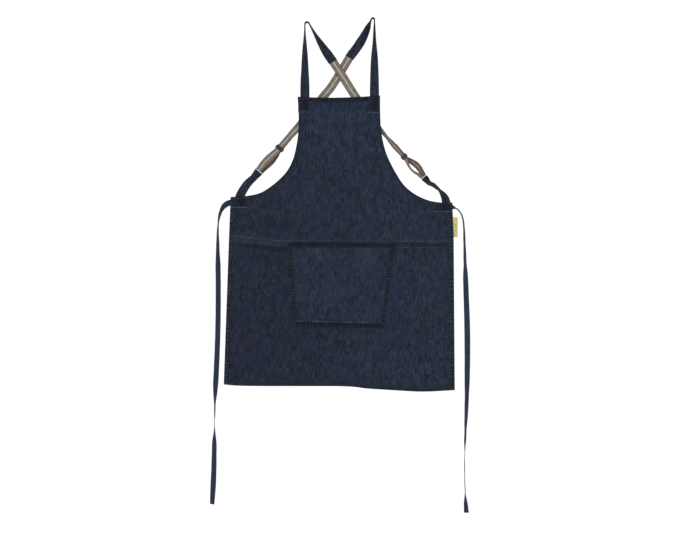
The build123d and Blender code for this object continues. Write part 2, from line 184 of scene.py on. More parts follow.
def keyed(at, keys):
    """A value that eases from key to key."""
    x, y = np.array(keys, float).T
    order = np.argsort(x)
    x, y = x[order], y[order]
    i = np.clip(np.searchsorted(x, at) - 1, 0, len(x) - 2)
    t = np.clip((at - x[i]) / (x[i + 1] - x[i]), 0, 1)
    t = t * t * (3 - 2 * t)
    return y[i] + (y[i + 1] - y[i]) * t


def unit(vectors):
    """The same directions at length one."""
    return vectors / np.linalg.norm(vectors, axis=-1, keepdims=True)


def wander(x, y, size, seed):
    """Smooth unevenness between about -1 and 1, with features of a given size."""
    k = 2 * math.pi / size
    s = seed * 1.7
    return (np.sin(k * x * 0.83 + 1.9 * np.sin(k * y * 0.41 + s) + s)
            + np.sin(k * y * 0.71 + 1.7 * np.sin(k * x * 0.37 + 2.1 * s) + 2.3 * s)
            + np.sin(k * (x * 0.52 - y * 0.61) + 1.3 * np.sin(k * (x + y) * 0.29 + s) + 4.1 * s)) / 3


def hang(x, z):
    """How far the hanging cloth stands back from flat: long soft folds, more of them low down."""
    low = np.clip((-z - 520) / 560, 0, 1)
    folds = 2.6 * low * np.sin(x / 61 + 1.1 * np.sin(z / 210)) + 1.4 * low * np.sin(x / 27 + z / 190 + 1.0)
    pull = 1.1 * np.sin((x + 0.55 * z) / 74) * np.exp(-((z + 560) / 130) ** 2)
    crush = 0.55 * wander(x, z, 74, 3) + 0.22 * wander(x, z * 0.6, 31, 8)
    sewn = 1.0
    for corner_x, corner_z in ((-318, -548), (328, -562)):
        sewn = sewn - np.exp(-((x - corner_x) / 60) ** 2 - ((z - corner_z) / 50) ** 2)
    return (folds + pull + crush) * sewn


def piece(name, verts, faces, uv, marks=None, outward=False):
    """A smooth mesh from points in millimetres, with its weave map in metres, its wear marks and its painted
    shade.
    """
    mesh = bpy.data.meshes.new(name)
    mesh.from_pydata((np.asarray(verts, float) * MM).tolist(), [], faces)
    if outward:
        bm = bmesh.new()
        bm.from_mesh(mesh)
        bmesh.ops.recalc_face_normals(bm, faces=bm.faces)
        bm.to_mesh(mesh)
        bm.free()
    layer = mesh.uv_layers.new(name="weave")
    corner = np.zeros(len(mesh.loops), np.int32)
    mesh.loops.foreach_get("vertex_index", corner)
    layer.data.foreach_set("uv", (np.asarray(uv, float)[corner] * MM).astype(np.float32).ravel())
    # deep holds painted shade (on the apron cloth also its darkening towards the lower left).
    for key in ("wear", "deep"):
        values = (marks or {}).get(key, np.zeros(len(verts)))
        attribute = mesh.attributes.new(key, "FLOAT", "POINT")
        attribute.data.foreach_set("value", np.asarray(values, np.float32).ravel())
    mesh.polygons.foreach_set("use_smooth", np.ones(len(mesh.polygons), bool))
    mesh.update()
    obj = bpy.data.objects.new(name, mesh)
    bpy.context.collection.objects.link(obj)
    return obj


def grid_faces(rows, columns, closed=False):
    """Quads of a grid of points; closed joins the last column to the first."""
    i, j = np.meshgrid(np.arange(rows - 1), np.arange(columns if closed else columns - 1), indexing="ij")
    a = i * columns + j
    b = i * columns + (j + 1) % columns
    return np.stack([a, b, b + columns, a + columns], -1).reshape(-1, 4)


# Places across a strip, from edge to edge, and how full its thickness is there.
ACROSS = np.array([-1, -0.985, -0.94, -0.8, -0.6, -0.3, 0, 0.3, 0.6, 0.8, 0.94, 0.985, 1])
FULL = np.array([0, 0.75, 1, 1, 1, 1, 1, 1, 1, 1, 1, 0.75, 0])


SURFACES = {}          # each strip's points, for the stitches laid on it


def strip(name, centre, across, width, thick, relief=None, marks=None):
    """A flat closed strip that follows a centre line, its width along the given directions.

    relief(along, v, side) lifts the surface; marks(along, v, side) gives its wear and its painted shade. Both
    take arrays.
    """
    centre = np.asarray(centre, float)
    across = unit(np.asarray(across, float))
    run = unit(np.gradient(centre, axis=0))
    normal = unit(np.cross(run, across))
    along = lengths(centre)[:, None]
    half = np.broadcast_to(np.asarray(width, float) / 2, len(centre))[:, None]
    deep = np.broadcast_to(np.asarray(thick, float) / 2, len(centre))[:, None]
    v = np.concatenate([ACROSS, ACROSS[-2:0:-1]])[None, :]
    full = np.concatenate([FULL, -FULL[-2:0:-1]])[None, :]
    side = np.concatenate([np.ones(len(ACROSS)), -np.ones(len(ACROSS) - 2)])[None, :]
    height = deep * full
    if relief:
        height = height + relief(along, v, side)
    points = centre[:, None] + across[:, None] * (half * v)[..., None] + normal[:, None] * height[..., None]
    SURFACES[name] = points
    rows, columns = points.shape[:2]
    faces = grid_faces(rows, columns, closed=True).tolist()
    faces.append(list(range(columns)))
    faces.append(list(range((rows - 1) * columns, rows * columns))[::-1])
    uv = np.stack([np.broadcast_to(along, points.shape[:2]),
                   np.broadcast_to(half * v, points.shape[:2])], -1)
    worn = {}
    if marks:
        # low: the painted shade, kept as the deep mark.
        wear, low = marks(along, v, side)
        worn = {"wear": np.broadcast_to(wear, points.shape[:2]),
                "deep": np.broadcast_to(low, points.shape[:2])}
    return piece(name, points.reshape(-1, 3), faces, uv.reshape(-1, 2), worn, outward=True)


def puckered(half, rows, pitch=11.5, depth=0.55, seed=0.0, rub=0.5, furrow=0.5):
    """Relief, wear and painted shade of a stitched strip: the cloth draws into ridges between its stitch
    rows.
    """
    def drift(along):
        slow = 2.6 * np.sin(along * 0.021 + seed)
        middling = 1.7 * np.sin(along * 0.057 + 2 * seed)
        return slow + middling + 0.8 * np.sin(along * 0.19 + seed)

    def ridges(along, v):
        near = np.zeros(np.broadcast(along, v).shape)
        for row in rows:
            near = np.maximum(near, np.exp(-((v * half - row) / (0.24 * half + 1.2)) ** 2))
        return near, np.sin(2 * math.pi * along / pitch + drift(along) + 0.5 * v)

    def relief(along, v, side):
        near, wave = ridges(along, v)
        sunk = np.zeros(near.shape)
        for row in rows:
            sunk = np.maximum(sunk, np.exp(-((v * half - row) / 0.9) ** 2))
        return depth * near * wave - side * 0.32 * sunk

    # Ridges rub pale with wear; the sunk furrows between them get painted shade.
    def marks(along, v, side):
        near, wave = ridges(along, v)
        uneven = 0.5 + 0.5 * np.sin(along * 0.083 + 3 * seed) * np.sin(along * 0.031 + seed)
        patchy = 0.5 + 0.5 * np.sin(along * 0.047 + 5 * seed + 1.8 * np.sin(along * 0.013 + seed) + v)
        up = np.clip(side * wave, 0, 1) ** 2
        # down: the sunk side of each pucker, darkened as painted shade
        down = np.clip(-side * wave, 0, 1) ** 1.3
        return rub * near * up * uneven, furrow * near * down * (0.35 + 0.65 * patchy)

    return relief, marks


# ================= finishes =================
def group(name, inputs, outputs):
    """A new node group; inputs and outputs are (name, socket type, value)."""
    tree = bpy.data.node_groups.new(name, "ShaderNodeTree")
    for label, kind, value in inputs:
        socket = tree.interface.new_socket(label, in_out="INPUT", socket_type=kind)
        if value is not None:
            socket.default_value = value
    for label, kind in outputs:
        tree.interface.new_socket(label, in_out="OUTPUT", socket_type=kind)
    return tree, tree.nodes.new("NodeGroupInput"), tree.nodes.new("NodeGroupOutput")


def put(tree, value, socket):
    """Links an output into a socket, or sets the socket."""
    if isinstance(value, bpy.types.NodeSocket):
        tree.links.new(value, socket)
    else:
        socket.default_value = value


def calc(tree, operation, *values):
    """The result of a sum on numbers or outputs."""
    node = tree.nodes.new("ShaderNodeMath")
    node.operation = operation
    for value, socket in zip(values, node.inputs):
        put(tree, value, socket)
    return node.outputs[0]


def add(tree, a, b):
    """a plus b."""
    return calc(tree, "ADD", a, b)


def times(tree, a, b):
    """a times b."""
    return calc(tree, "MULTIPLY", a, b)


def held(tree, value):
    """The value kept between 0 and 1."""
    node = tree.nodes.new("ShaderNodeClamp")
    tree.links.new(value, node.inputs[0])
    return node.outputs[0]


def parts(tree, vector):
    """The three parts of a vector."""
    node = tree.nodes.new("ShaderNodeSeparateXYZ")
    tree.links.new(vector, node.inputs[0])
    return node.outputs


def blended(tree, factor, a, b, mode="MIX"):
    """One colour laid over another."""
    node = tree.nodes.new("ShaderNodeMix")
    node.data_type = "RGBA"
    node.blend_type = mode
    put(tree, factor, node.inputs[0])
    put(tree, a, node.inputs[6])
    put(tree, b, node.inputs[7])
    return node.outputs[2]


def speckle(tree, vector, stretch, scale=1.0, detail=2.0, rough=0.5):
    """Noise whose grain is stretched by different amounts along the weave map."""
    mapping = tree.nodes.new("ShaderNodeMapping")
    mapping.inputs["Scale"].default_value = stretch
    tree.links.new(vector, mapping.inputs["Vector"])
    noise = tree.nodes.new("ShaderNodeTexNoise")
    noise.inputs["Scale"].default_value = scale
    noise.inputs["Detail"].default_value = detail
    noise.inputs["Roughness"].default_value = rough
    tree.links.new(mapping.outputs[0], noise.inputs["Vector"])
    return noise.outputs["Fac"]


def spread(tree, value, low, high, out_low=0.0, out_high=1.0):
    """The value stretched from one range to another."""
    node = tree.nodes.new("ShaderNodeMapRange")
    for index, number in enumerate((None, low, high, out_low, out_high)):
        if number is not None:
            put(tree, number, node.inputs[index])
    put(tree, value, node.inputs[0])
    return node.outputs[0]


def denim_weave():
    """Indigo twill: slub streaks along the warp, washed mottle, tinted areas and the fine diagonal."""
    tree, ins, outs = group("denim weave",
                            [("Weave", "NodeSocketVector", None),
                             ("Indigo", "NodeSocketColor", (0.02, 0.03, 0.055, 1)),
                             ("Washed", "NodeSocketColor", (0.05, 0.065, 0.1, 1)),
                             ("Contrast", "NodeSocketFloat", 0.5)],
                            [("Color", "NodeSocketColor"), ("Height", "NodeSocketFloat"),
                             ("Rough", "NodeSocketFloat")])
    weave = ins.outputs["Weave"]
    streak = spread(tree, speckle(tree, weave, (58, 215, 1), detail=4, rough=0.6), 0.35, 0.65)
    fine = spread(tree, speckle(tree, weave, (240, 330, 1), detail=3, rough=0.6), 0.34, 0.66)
    mottle = spread(tree, speckle(tree, weave, (30, 52, 1), detail=4, rough=0.65), 0.32, 0.68)
    broad = spread(tree, speckle(tree, weave, (5, 6, 1), detail=2), 0.3, 0.7)
    tone = add(tree, times(tree, streak, 0.42), times(tree, mottle, 0.33))
    tone = add(tree, tone, times(tree, fine, 0.25))
    tone = add(tree, times(tree, calc(tree, "SUBTRACT", tone, 0.5), ins.outputs["Contrast"]), 0.42)
    tone = add(tree, tone, times(tree, calc(tree, "SUBTRACT", broad, 0.5), 0.16))
    split = parts(tree, weave)
    diagonal = add(tree, times(tree, split[0], 5400), times(tree, split[1], 7200))
    twill = add(tree, times(tree, calc(tree, "SINE", diagonal), 0.5), 0.5)
    tone = add(tree, tone, times(tree, calc(tree, "SUBTRACT", twill, 0.5), 0.3))
    color = blended(tree, tone, ins.outputs["Indigo"], ins.outputs["Washed"])
    teal = spread(tree, speckle(tree, weave, (13, 19, 1), detail=3), 0.52, 0.72, 0.0, 0.30)
    color = blended(tree, teal, color, (0.0095, 0.027, 0.037, 1))
    blue = spread(tree, speckle(tree, weave, (9, 8, 5), scale=1.2, detail=3), 0.5, 0.72, 0.0, 0.5)
    color = blended(tree, blue, color, (0.0095, 0.0205, 0.050, 1))
    plum = spread(tree, speckle(tree, weave, (17, 12, 3), scale=1.3, detail=3), 0.54, 0.74, 0.0, 0.26)
    color = blended(tree, plum, color, (0.027, 0.0205, 0.036, 1))
    tree.links.new(color, outs.inputs["Color"])
    height = add(tree, times(tree, twill, 0.5), times(tree, streak, 0.5))
    tree.links.new(height, outs.inputs["Height"])
    tree.links.new(spread(tree, tone, 0.0, 1.0, 0.93, 0.78), outs.inputs["Rough"])
    return tree


def seam_wear_and_shade():
    """Where a stitched ridge has rubbed pale, and the painted shade that the Deep mark lays on the cloth in
    the Dark colour.
    """
    tree, ins, outs = group("seam wear and shade",
                            [("Weave", "NodeSocketVector", None), ("Cloth", "NodeSocketColor", (0, 0, 0, 1)),
                             ("Rubbed", "NodeSocketColor", (0.1, 0.14, 0.18, 1)),
                             # Dark: the colour of the painted shade
                             ("Dark", "NodeSocketColor", (0.0035, 0.0045, 0.008, 1)),
                             ("Wear", "NodeSocketFloat", 0.0), ("Deep", "NodeSocketFloat", 0.0),
                             ("Amount", "NodeSocketFloat", 1.0)],
                            [("Color", "NodeSocketColor"), ("Worn", "NodeSocketFloat")])
    grain = spread(tree, speckle(tree, ins.outputs["Weave"], (240, 300, 1), detail=3, rough=0.65), 0.34, 0.62,
                   0.35, 1.0)
    worn = times(tree, times(tree, ins.outputs["Wear"], grain), ins.outputs["Amount"])
    rubbed = held(tree, worn)
    # The Deep mark darkens the cloth as painted shade (on the apron cloth it also holds the darkening towards
    # the lower left).
    furrow = held(tree, times(tree, ins.outputs["Deep"], 0.85))
    color = blended(tree, furrow, ins.outputs["Cloth"], ins.outputs["Dark"])
    tree.links.new(blended(tree, rubbed, color, ins.outputs["Rubbed"]), outs.inputs["Color"])
    tree.links.new(rubbed, outs.inputs["Worn"])
    return tree


def weave_lines():
    """Cross-ribbed tape weave: fine ribs across the tape and yarns along it."""
    tree, ins, outs = group("tape weave",
                            [("Weave", "NodeSocketVector", None), ("Ribs", "NodeSocketFloat", 4200.0),
                             ("Yarns", "NodeSocketFloat", 5200.0)],
                            [("Shade", "NodeSocketFloat"), ("Height", "NodeSocketFloat")])
    split = parts(tree, ins.outputs["Weave"])
    rib = calc(tree, "SINE", times(tree, split[0], ins.outputs["Ribs"]))
    yarn = calc(tree, "SINE", times(tree, split[1], ins.outputs["Yarns"]))
    height = add(tree, times(tree, times(tree, rib, yarn), 0.35), times(tree, yarn, 0.15))
    mottle = speckle(tree, ins.outputs["Weave"], (90, 160, 1), detail=4, rough=0.6)
    shade = add(tree, times(tree, height, 0.5), mottle)
    tree.links.new(shade, outs.inputs["Shade"])
    tree.links.new(height, outs.inputs["Height"])
    return tree


DENIM_WEAVE = denim_weave()
SEAM_WEAR_AND_SHADE = seam_wear_and_shade()
TAPE_WEAVE = weave_lines()


def place_group(tree, what, **values):
    """A node group set into a material."""
    node = tree.nodes.new("ShaderNodeGroup")
    node.node_tree = what
    for label, value in values.items():
        put(tree, value, node.inputs[label])
    return node


def finish(name, roughness=0.85, specular=0.25, sheen=0.0):
    """A material with its shader ready; returns material, tree, shader."""
    material = bpy.data.materials.new(name)
    material.use_nodes = True
    tree = material.node_tree
    shader = tree.nodes["Principled BSDF"]
    shader.inputs["Roughness"].default_value = roughness
    shader.inputs["Specular IOR Level"].default_value = specular
    shader.inputs["Sheen Weight"].default_value = sheen
    shader.inputs["Sheen Roughness"].default_value = 0.5
    return material, tree, shader


def raised(tree, shader, height, distance):
    """Bumps the surface by a height."""
    bump = tree.nodes.new("ShaderNodeBump")
    bump.inputs["Distance"].default_value = distance
    bump.inputs["Strength"].default_value = 1.0
    tree.links.new(height, bump.inputs["Height"])
    tree.links.new(bump.outputs[0], shader.inputs["Normal"])


def marked(tree, name):
    """A wear mark of the mesh."""
    node = tree.nodes.new("ShaderNodeAttribute")
    node.attribute_name = name
    return node.outputs["Fac"]


def woven_map(tree):
    """The weave map, in metres along and across the cloth."""
    node = tree.nodes.new("ShaderNodeUVMap")
    node.uv_map = "weave"
    return node.outputs[0]


RUBBED_DENIM = (0.060, 0.092, 0.125, 1)
DENIM_CONTRAST = 2.6


def denim(name, indigo, washed, wear=1.0, reverse=False):
    """Denim with its own depth of colour; every denim piece of the apron uses it."""
    material, tree, shader = finish(name, specular=0.12, sheen=0.03)
    weave = woven_map(tree)
    cloth = place_group(tree, DENIM_WEAVE, Weave=weave, Indigo=indigo, Washed=washed,
                        Contrast=DENIM_CONTRAST)
    seam = place_group(tree, SEAM_WEAR_AND_SHADE, Weave=weave, Cloth=cloth.outputs["Color"], Rubbed=RUBBED_DENIM,
                       Amount=wear, Wear=marked(tree, "wear"), Deep=marked(tree, "deep"))
    color = seam.outputs["Color"]
    if reverse:
        pale = blended(tree, cloth.outputs["Height"], (0.035, 0.046, 0.075, 1), (0.105, 0.125, 0.165, 1))
        color = blended(tree, marked(tree, "reverse"), color, pale)
    tree.links.new(color, shader.inputs["Base Color"])
    tree.links.new(cloth.outputs["Rough"], shader.inputs["Roughness"])
    raised(tree, shader, cloth.outputs["Height"], 0.0003)
    return material


BODY_DENIM = denim("body_denim", (0.0075, 0.0117, 0.0240, 1), (0.0240, 0.0324, 0.0528, 1), reverse=True)
HEM_DENIM = denim("hem_denim", (0.0063, 0.0093, 0.0180, 1), (0.0180, 0.0252, 0.0408, 1), wear=0.9)
PATCH_DENIM = denim("patch_denim", (0.0045, 0.0063, 0.0120, 1), (0.0132, 0.0180, 0.0282, 1), wear=0.9)
STRAP_DENIM = denim("strap_denim", (0.0063, 0.0099, 0.0204, 1), (0.0204, 0.0282, 0.0462, 1), wear=0.9)
POCKET_DENIM = denim("pocket_denim", (0.0075, 0.0117, 0.0240, 1), (0.0228, 0.0318, 0.0528, 1), reverse=True)


def tie_cloth():
    """Navy twill tape, paler along its two edges."""
    material, tree, shader = finish("navy_tie_tape", specular=0.15, sheen=0.05)
    weave = woven_map(tree)
    lines = place_group(tree, TAPE_WEAVE, Weave=weave, Ribs=3900.0, Yarns=4600.0)
    color = blended(tree, spread(tree, lines.outputs["Shade"], 0.2, 0.85), (0.0065, 0.011, 0.024, 1),
                    (0.030, 0.045, 0.086, 1))
    color = blended(tree, marked(tree, "wear"), color, (0.072, 0.092, 0.14, 1))
    tree.links.new(color, shader.inputs["Base Color"])
    tree.links.new(spread(tree, lines.outputs["Shade"], 0.0, 1.0, 0.9, 0.75), shader.inputs["Roughness"])
    raised(tree, shader, lines.outputs["Height"], 0.0003)
    return material


TIE_TAPE = tie_cloth()


# ================= waist ties =================
def hanging_tie(name, route, turns, stand):
    """A free tape from behind the corner down to its cut end, turning about its own length as it hangs."""
    curve = bpy.data.curves.new(name + "_line", "CURVE")
    curve.dimensions = "3D"
    curve.resolution_u = 14
    spline = curve.splines.new("NURBS")
    spline.points.add(len(route) - 1)
    for point, (x, z) in zip(spline.points, route):
        point.co = (*mm(x, TIE_Y, z), 1)
    spline.order_u = 3
    spline.use_endpoint_u = True
    line = bpy.data.objects.new(name + "_line", curve)
    bpy.context.collection.objects.link(line)
    bpy.context.view_layer.update()
    mesh = bpy.data.meshes.new_from_object(line)
    path = np.array([v.co for v in mesh.vertices]) / MM
    bpy.data.objects.remove(line)
    bpy.data.meshes.remove(mesh)

    centre = even(path, 380)
    run = unit(np.gradient(centre, axis=0))
    flat = unit(np.cross(np.array([0, -1.0, 0]), run))
    angle = np.radians(keyed(lengths(centre) / lengths(centre)[-1], turns))[:, None]
    across = flat * np.cos(angle) + np.array([0, 1.0, 0]) * np.sin(angle)
    share = lengths(centre) / lengths(centre)[-1]
    centre[:, 1] += 0.5 * np.sin(lengths(centre) / 47) * share + keyed(share, stand)

    def relief(along, v, side):
        cup = 0.22 * np.sin(along / 9.0 + 2.2 * v) * v * v
        return cup + side * 0.14 * (np.abs(v) > 0.78) * (np.abs(v) < 0.99)

    def marks(along, v, side):
        edge = np.clip((np.abs(v) - 0.9) / 0.1, 0, 1)
        return edge * (0.7 + 0.3 * np.sin(along * 0.19)), 0 * along * v

    obj = strip(name + "_tape", centre, across, TIE_WIDE, TIE_THICK, relief, marks)
    obj.data.materials.append(TIE_TAPE)
    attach(obj, name)
    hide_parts(name)
    return obj


LEFT_TURNS = [(0, 0), (0.02, 14), (0.06, 66), (0.10, 82), (0.17, 62), (0.24, 34), (0.60, 30), (0.69, 82),
              (0.74, 94), (0.82, 146), (0.94, 160), (1, 140)]
RIGHT_TURNS = [(0, 0), (0.006, 20), (0.014, 52), (0.022, 74), (0.05, 76), (0.09, 72), (0.14, 66), (0.20, 58),
               (0.27, 24), (0.45, 4), (0.54, 18), (0.65, 46), (0.76, 68), (0.83, 90),
               (0.93, 90), (0.985, 132), (1, 142)]
CLEAR_OF_CORNER = [(0, 0), (0.006, 3.2), (0.014, 6.9), (0.022, 8.2), (0.06, 6.5), (0.12, 3), (0.2, 0), (1, 0)]
hanging_tie("left_tie", LEFT_TIE, LEFT_TURNS, CLEAR_OF_CORNER)
hanging_tie("right_tie", RIGHT_TIE, RIGHT_TURNS, CLEAR_OF_CORNER)


# ================= the cloth and what is sewn on it =================
def thicken(obj, thick):
    """Gives a sheet its thickness, half each side, and marks its reverse."""
    front = len(obj.data.vertices)
    bpy.ops.object.select_all(action="DESELECT")
    obj.select_set(True)
    bpy.context.view_layer.objects.active = obj
    solid = obj.modifiers.new("thickness", "SOLIDIFY")
    solid.thickness = thick * MM
    solid.offset = 0
    bpy.ops.object.modifier_apply(modifier="thickness")
    back = obj.data.attributes.new("reverse", "FLOAT", "POINT")
    back.data.foreach_set("value", (np.arange(len(obj.data.vertices)) >= front).astype(np.float32))
    return obj


def across_waist(obj):
    """Bakes the piece's placement into its mesh; it is attached to no body."""
    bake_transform(obj)


def side_line(x_top, z_top, bottom, counts):
    """The straight side from the corner to the waist and on to the bottom."""
    waist_x = LEFT_WAIST_X if x_top < 0 else RIGHT_WAIST_X
    upper = even(np.array([(x_top, z_top), (waist_x, WAIST_Z)], float), counts[0])
    lower = even(np.array([(waist_x, WAIST_Z), bottom], float), counts[1])
    return np.vstack([upper[:-1], lower])


def bottom_z(x):
    """Height of the bottom edge."""
    line = smooth_line(BOTTOM, 200)
    return np.interp(x, line[:, 0], line[:, 1])


ROWS = (94, 26, 92)
COLUMNS = 134
LEFT_EDGE = np.vstack([smooth_line(LEFT_ARMHOLE, ROWS[0])[:-1],
                       side_line(*LEFT_ARMHOLE[-1], BOTTOM[0], ROWS[1:])])
RIGHT_EDGE = np.vstack([smooth_line(RIGHT_ARMHOLE, ROWS[0])[:-1],
                        side_line(*RIGHT_ARMHOLE[-1], BOTTOM[-1], ROWS[1:])])


def falling(edge):
    """The edge with its height always falling, so the cloth's rows never cross."""
    edge = edge.copy()
    drop = 0.35 * np.arange(len(edge))
    edge[:, 1] = np.minimum.accumulate(edge[:, 1] + drop) - drop
    return edge


LEFT_EDGE = falling(LEFT_EDGE)
RIGHT_EDGE = falling(RIGHT_EDGE)


def waist_line(x):
    """Height of the waist seam's upper stitch row: a little higher towards the left edge."""
    return -666.0 - 2.5 * (x + 337) / 682 + 15.5 * np.clip((-175 - x) / 162, 0, 1)


def apron_cloth():
    """Bib and skirt as one hanging sheet, drawn in along its seams."""
    u = np.linspace(0, 1, COLUMNS)[None, :, None]
    flat = LEFT_EDGE[:, None] * (1 - u) + RIGHT_EDGE[:, None] * u
    x, z = flat[..., 0], flat[..., 1].copy()
    u = u[..., 0]
    down = z.max() - z
    z -= BIB_TOP_SAG * 4 * u * (1 - u) * np.exp(-down / 60)
    straight = LEFT_EDGE[-1, 1] * (1 - u) + RIGHT_EDGE[-1, 1] * u
    z += (bottom_z(x) - straight) * np.exp((straight - z) / 90)
    y = hang(x, z)
    ripple = np.sin(2 * math.pi * x / 12.5 + 1.4 * np.sin(x / 37))
    y = y + np.exp(-((z - waist_line(x)) / 5) ** 2) * 0.35 * ripple
    points = np.stack([x, y, z], -1)
    rows, columns = x.shape
    faces = grid_faces(rows, columns)[:, ::-1]
    edge = np.minimum(u * 60, (1 - u) * 60)
    uneven = 0.5 + 0.5 * np.sin(x / 2.1 + 2 * np.sin(x / 13))
    wear = 0.35 * np.exp(-((z - waist_line(x) - 3.2) / 3.0) ** 2) * uneven
    # Painted shade along the cloth's left and right edges, beside the hems, and in a band just under the
    # waist seam.
    deep = 0.3 * np.exp(-edge * 0.8) + 0.3 * np.exp(-((z - waist_line(x) + 24) / 9) ** 2)
    # Darker towards the lower left.
    deep = deep + 0.27 * np.clip((-z - 330) / 330, 0, 1) * np.clip((160 - x) / 330, 0, 1)
    uv = np.stack([-z, x], -1).reshape(-1, 2)
    obj = piece("apron_cloth", points.reshape(-1, 3), faces.tolist(), uv,
                {"wear": wear.ravel(), "deep": np.broadcast_to(deep, x.shape).ravel()})
    thicken(obj, CLOTH)
    obj.data.materials.append(BODY_DENIM)
    across_waist(obj)
    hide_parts("bib_panel", "skirt_panel")
    return obj


def edge_strip(name, line, width, outer, over, thick=CLOTH + 2 * HEM, overlap=0.7, rows=None, pitch=11.5,
               depth=0.5, seed=0.0, extra=None, rub=0.5, furrow=0.5, shade=0.2):
    """A stitched band along an edge of the front view; outer says which side of it is free."""
    line = np.asarray(line, float)
    run = unit(np.gradient(line, axis=0))
    side = np.column_stack([-run[:, 1], run[:, 0]])
    middle = line - outer * side * (width / 2 - overlap)
    high, low = middle + side * width * 0.4, middle - side * width * 0.4
    tilt = (over(high[:, 0], high[:, 1]) - over(low[:, 0], low[:, 1])) / (0.8 * width)
    centre = np.column_stack([middle[:, 0], over(middle[:, 0], middle[:, 1]), middle[:, 1]])
    across = np.column_stack([side[:, 0], tilt, side[:, 1]])
    rows = rows if rows is not None else (-outer * (width / 2 - 2.2),)
    relief, marks = puckered(width / 2, rows, pitch, depth, seed, rub, furrow)

    def all_marks(along, v, face):
        wear, deep = marks(along, v, face)
        rim = np.clip((outer * v - 0.75) / 0.25, 0, 1)
        uneven = 0.55 + 0.45 * np.sin(along * 0.31 + seed + 1.7 * np.sin(along * 0.05))
        wear = wear + 0.25 * rub * rim * uneven
        if extra is not None:
            wear = wear + extra(along, v)
        # The shade value lays painted shade evenly over the whole band, on top of the painted shade in its
        # furrows.
        return wear, deep + (shade(along) if callable(shade) else shade)

    return strip(name, centre, across, width, thick, relief, all_marks)


def sewn_piece(obj, material, slot, body, *nodes):
    """Finish, body and CAD nodes of a piece; body "both" only has its placement baked into its mesh."""
    obj.data.materials.clear()
    obj.data.materials.append(material)
    if body == "both":
        across_waist(obj)
    else:
        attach(obj, body)
    if nodes:
        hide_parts(*nodes)
    return obj


def seam_shade(along):
    """Painted shade over the seam allowance, only to the right of the pocket."""
    return 0.04 + 0.22 * np.clip((along - 470) / 40, 0, 1)


def band(name, line, width, outer, over, material, slot, body, *nodes, **look):
    """A stitched band along an edge, finished."""
    return sewn_piece(edge_strip(name, line, width, outer, over, **look), material, slot, body, *nodes)


def seam_rub(along, v):
    """Wear of the waist seam: its upper edge, its lower one right of the pocket, and a paler left end."""
    upper = 0.95 * np.exp(-((v - 0.90) / 0.13) ** 2)
    lower = 0.7 * np.exp(-((v + 0.86) / 0.10) ** 2) * np.clip((along - 480) / 40, 0, 1)
    uneven = 0.6 + 0.4 * np.sin(along / 9 + 2 * np.sin(along / 31))
    return (upper + lower) * uneven + 0.13 * np.clip((200 - along) / 40, 0, 1)


def hems():
    """Rolled and stitched hems round the whole apron."""
    band("left_armhole_hem", smooth_line(LEFT_ARMHOLE, 190), 9, -1, hang, HEM_DENIM, "hem_denim", "bib",
         "left_bib_edge_hem", seed=0.4)
    band("right_armhole_hem", smooth_line(RIGHT_ARMHOLE, 190), 9, 1, hang, HEM_DENIM, "hem_denim", "bib",
         "right_bib_edge_hem", seed=1.3)
    left_side = side_line(LEFT_ARMHOLE[-1][0], LEFT_ARMHOLE[-1][1] + 0.6, BOTTOM[0], (58, 200))
    right_side = side_line(RIGHT_ARMHOLE[-1][0], RIGHT_ARMHOLE[-1][1] + 0.6, BOTTOM[-1], (52, 205))
    band("left_side_hem", left_side, 10, -1, hang, HEM_DENIM, "hem_denim", "both", "left_skirt_hem",
         seed=2.1, depth=0.6, rows=(2.8, -3.4), rub=1.6, furrow=1.4)
    band("right_side_hem", right_side, 15, 1, hang, HEM_DENIM, "hem_denim", "both", "right_skirt_hem",
         seed=3.3, depth=0.65, rows=(-5.3, 4.6), rub=1.3, furrow=1.3)
    band("bottom_hem_roll", smooth_line(BOTTOM, 300), 13, -1, hang, HEM_DENIM, "hem_denim", "skirt",
         "bottom_hem", overlap=2.2, seed=4.0, depth=0.35, rub=0.2, furrow=0.2, shade=0.12)
    x = np.linspace(BIB_TOP_LEFT[0] + 0.5, BIB_TOP_RIGHT[0] - 0.5, 110)
    share = (x - BIB_TOP_LEFT[0]) / (BIB_TOP_RIGHT[0] - BIB_TOP_LEFT[0])
    z = BIB_TOP_LEFT[1] + (BIB_TOP_RIGHT[1] - BIB_TOP_LEFT[1]) * share - BIB_TOP_SAG * 4 * share * (1 - share)
    band("bib_top_roll", np.column_stack([x, z]), 15, 1, hang, PATCH_DENIM, "hem_denim", "bib", "bib_top_hem",
         seed=5.2, depth=0.35, rows=(-5.2, 5.0), rub=0.12, furrow=0.3, shade=0.45)
    x = np.linspace(LEFT_WAIST_X + 1.5, RIGHT_WAIST_X - 1.5, 330)
    line = np.column_stack([x, waist_line(x) + 2.4])
    band("waist_seam", line, 21, 1, seam_depth, HEM_DENIM, "hem_denim", "both", "waist_band", overlap=0.0,
         rows=(7.6, -8.2), thick=CLOTH + 0.9, depth=0.25, seed=6.1, pitch=12.5, rub=0.12, furrow=0.12,
         shade=seam_shade, extra=seam_rub)


def seam_depth(x, z):
    """Depth of the waist seam: nearly flush with the cloth's face except at its right-hand end."""
    return hang(x, z) + 0.3 * np.clip((200 - x) / 40, 0, 1)


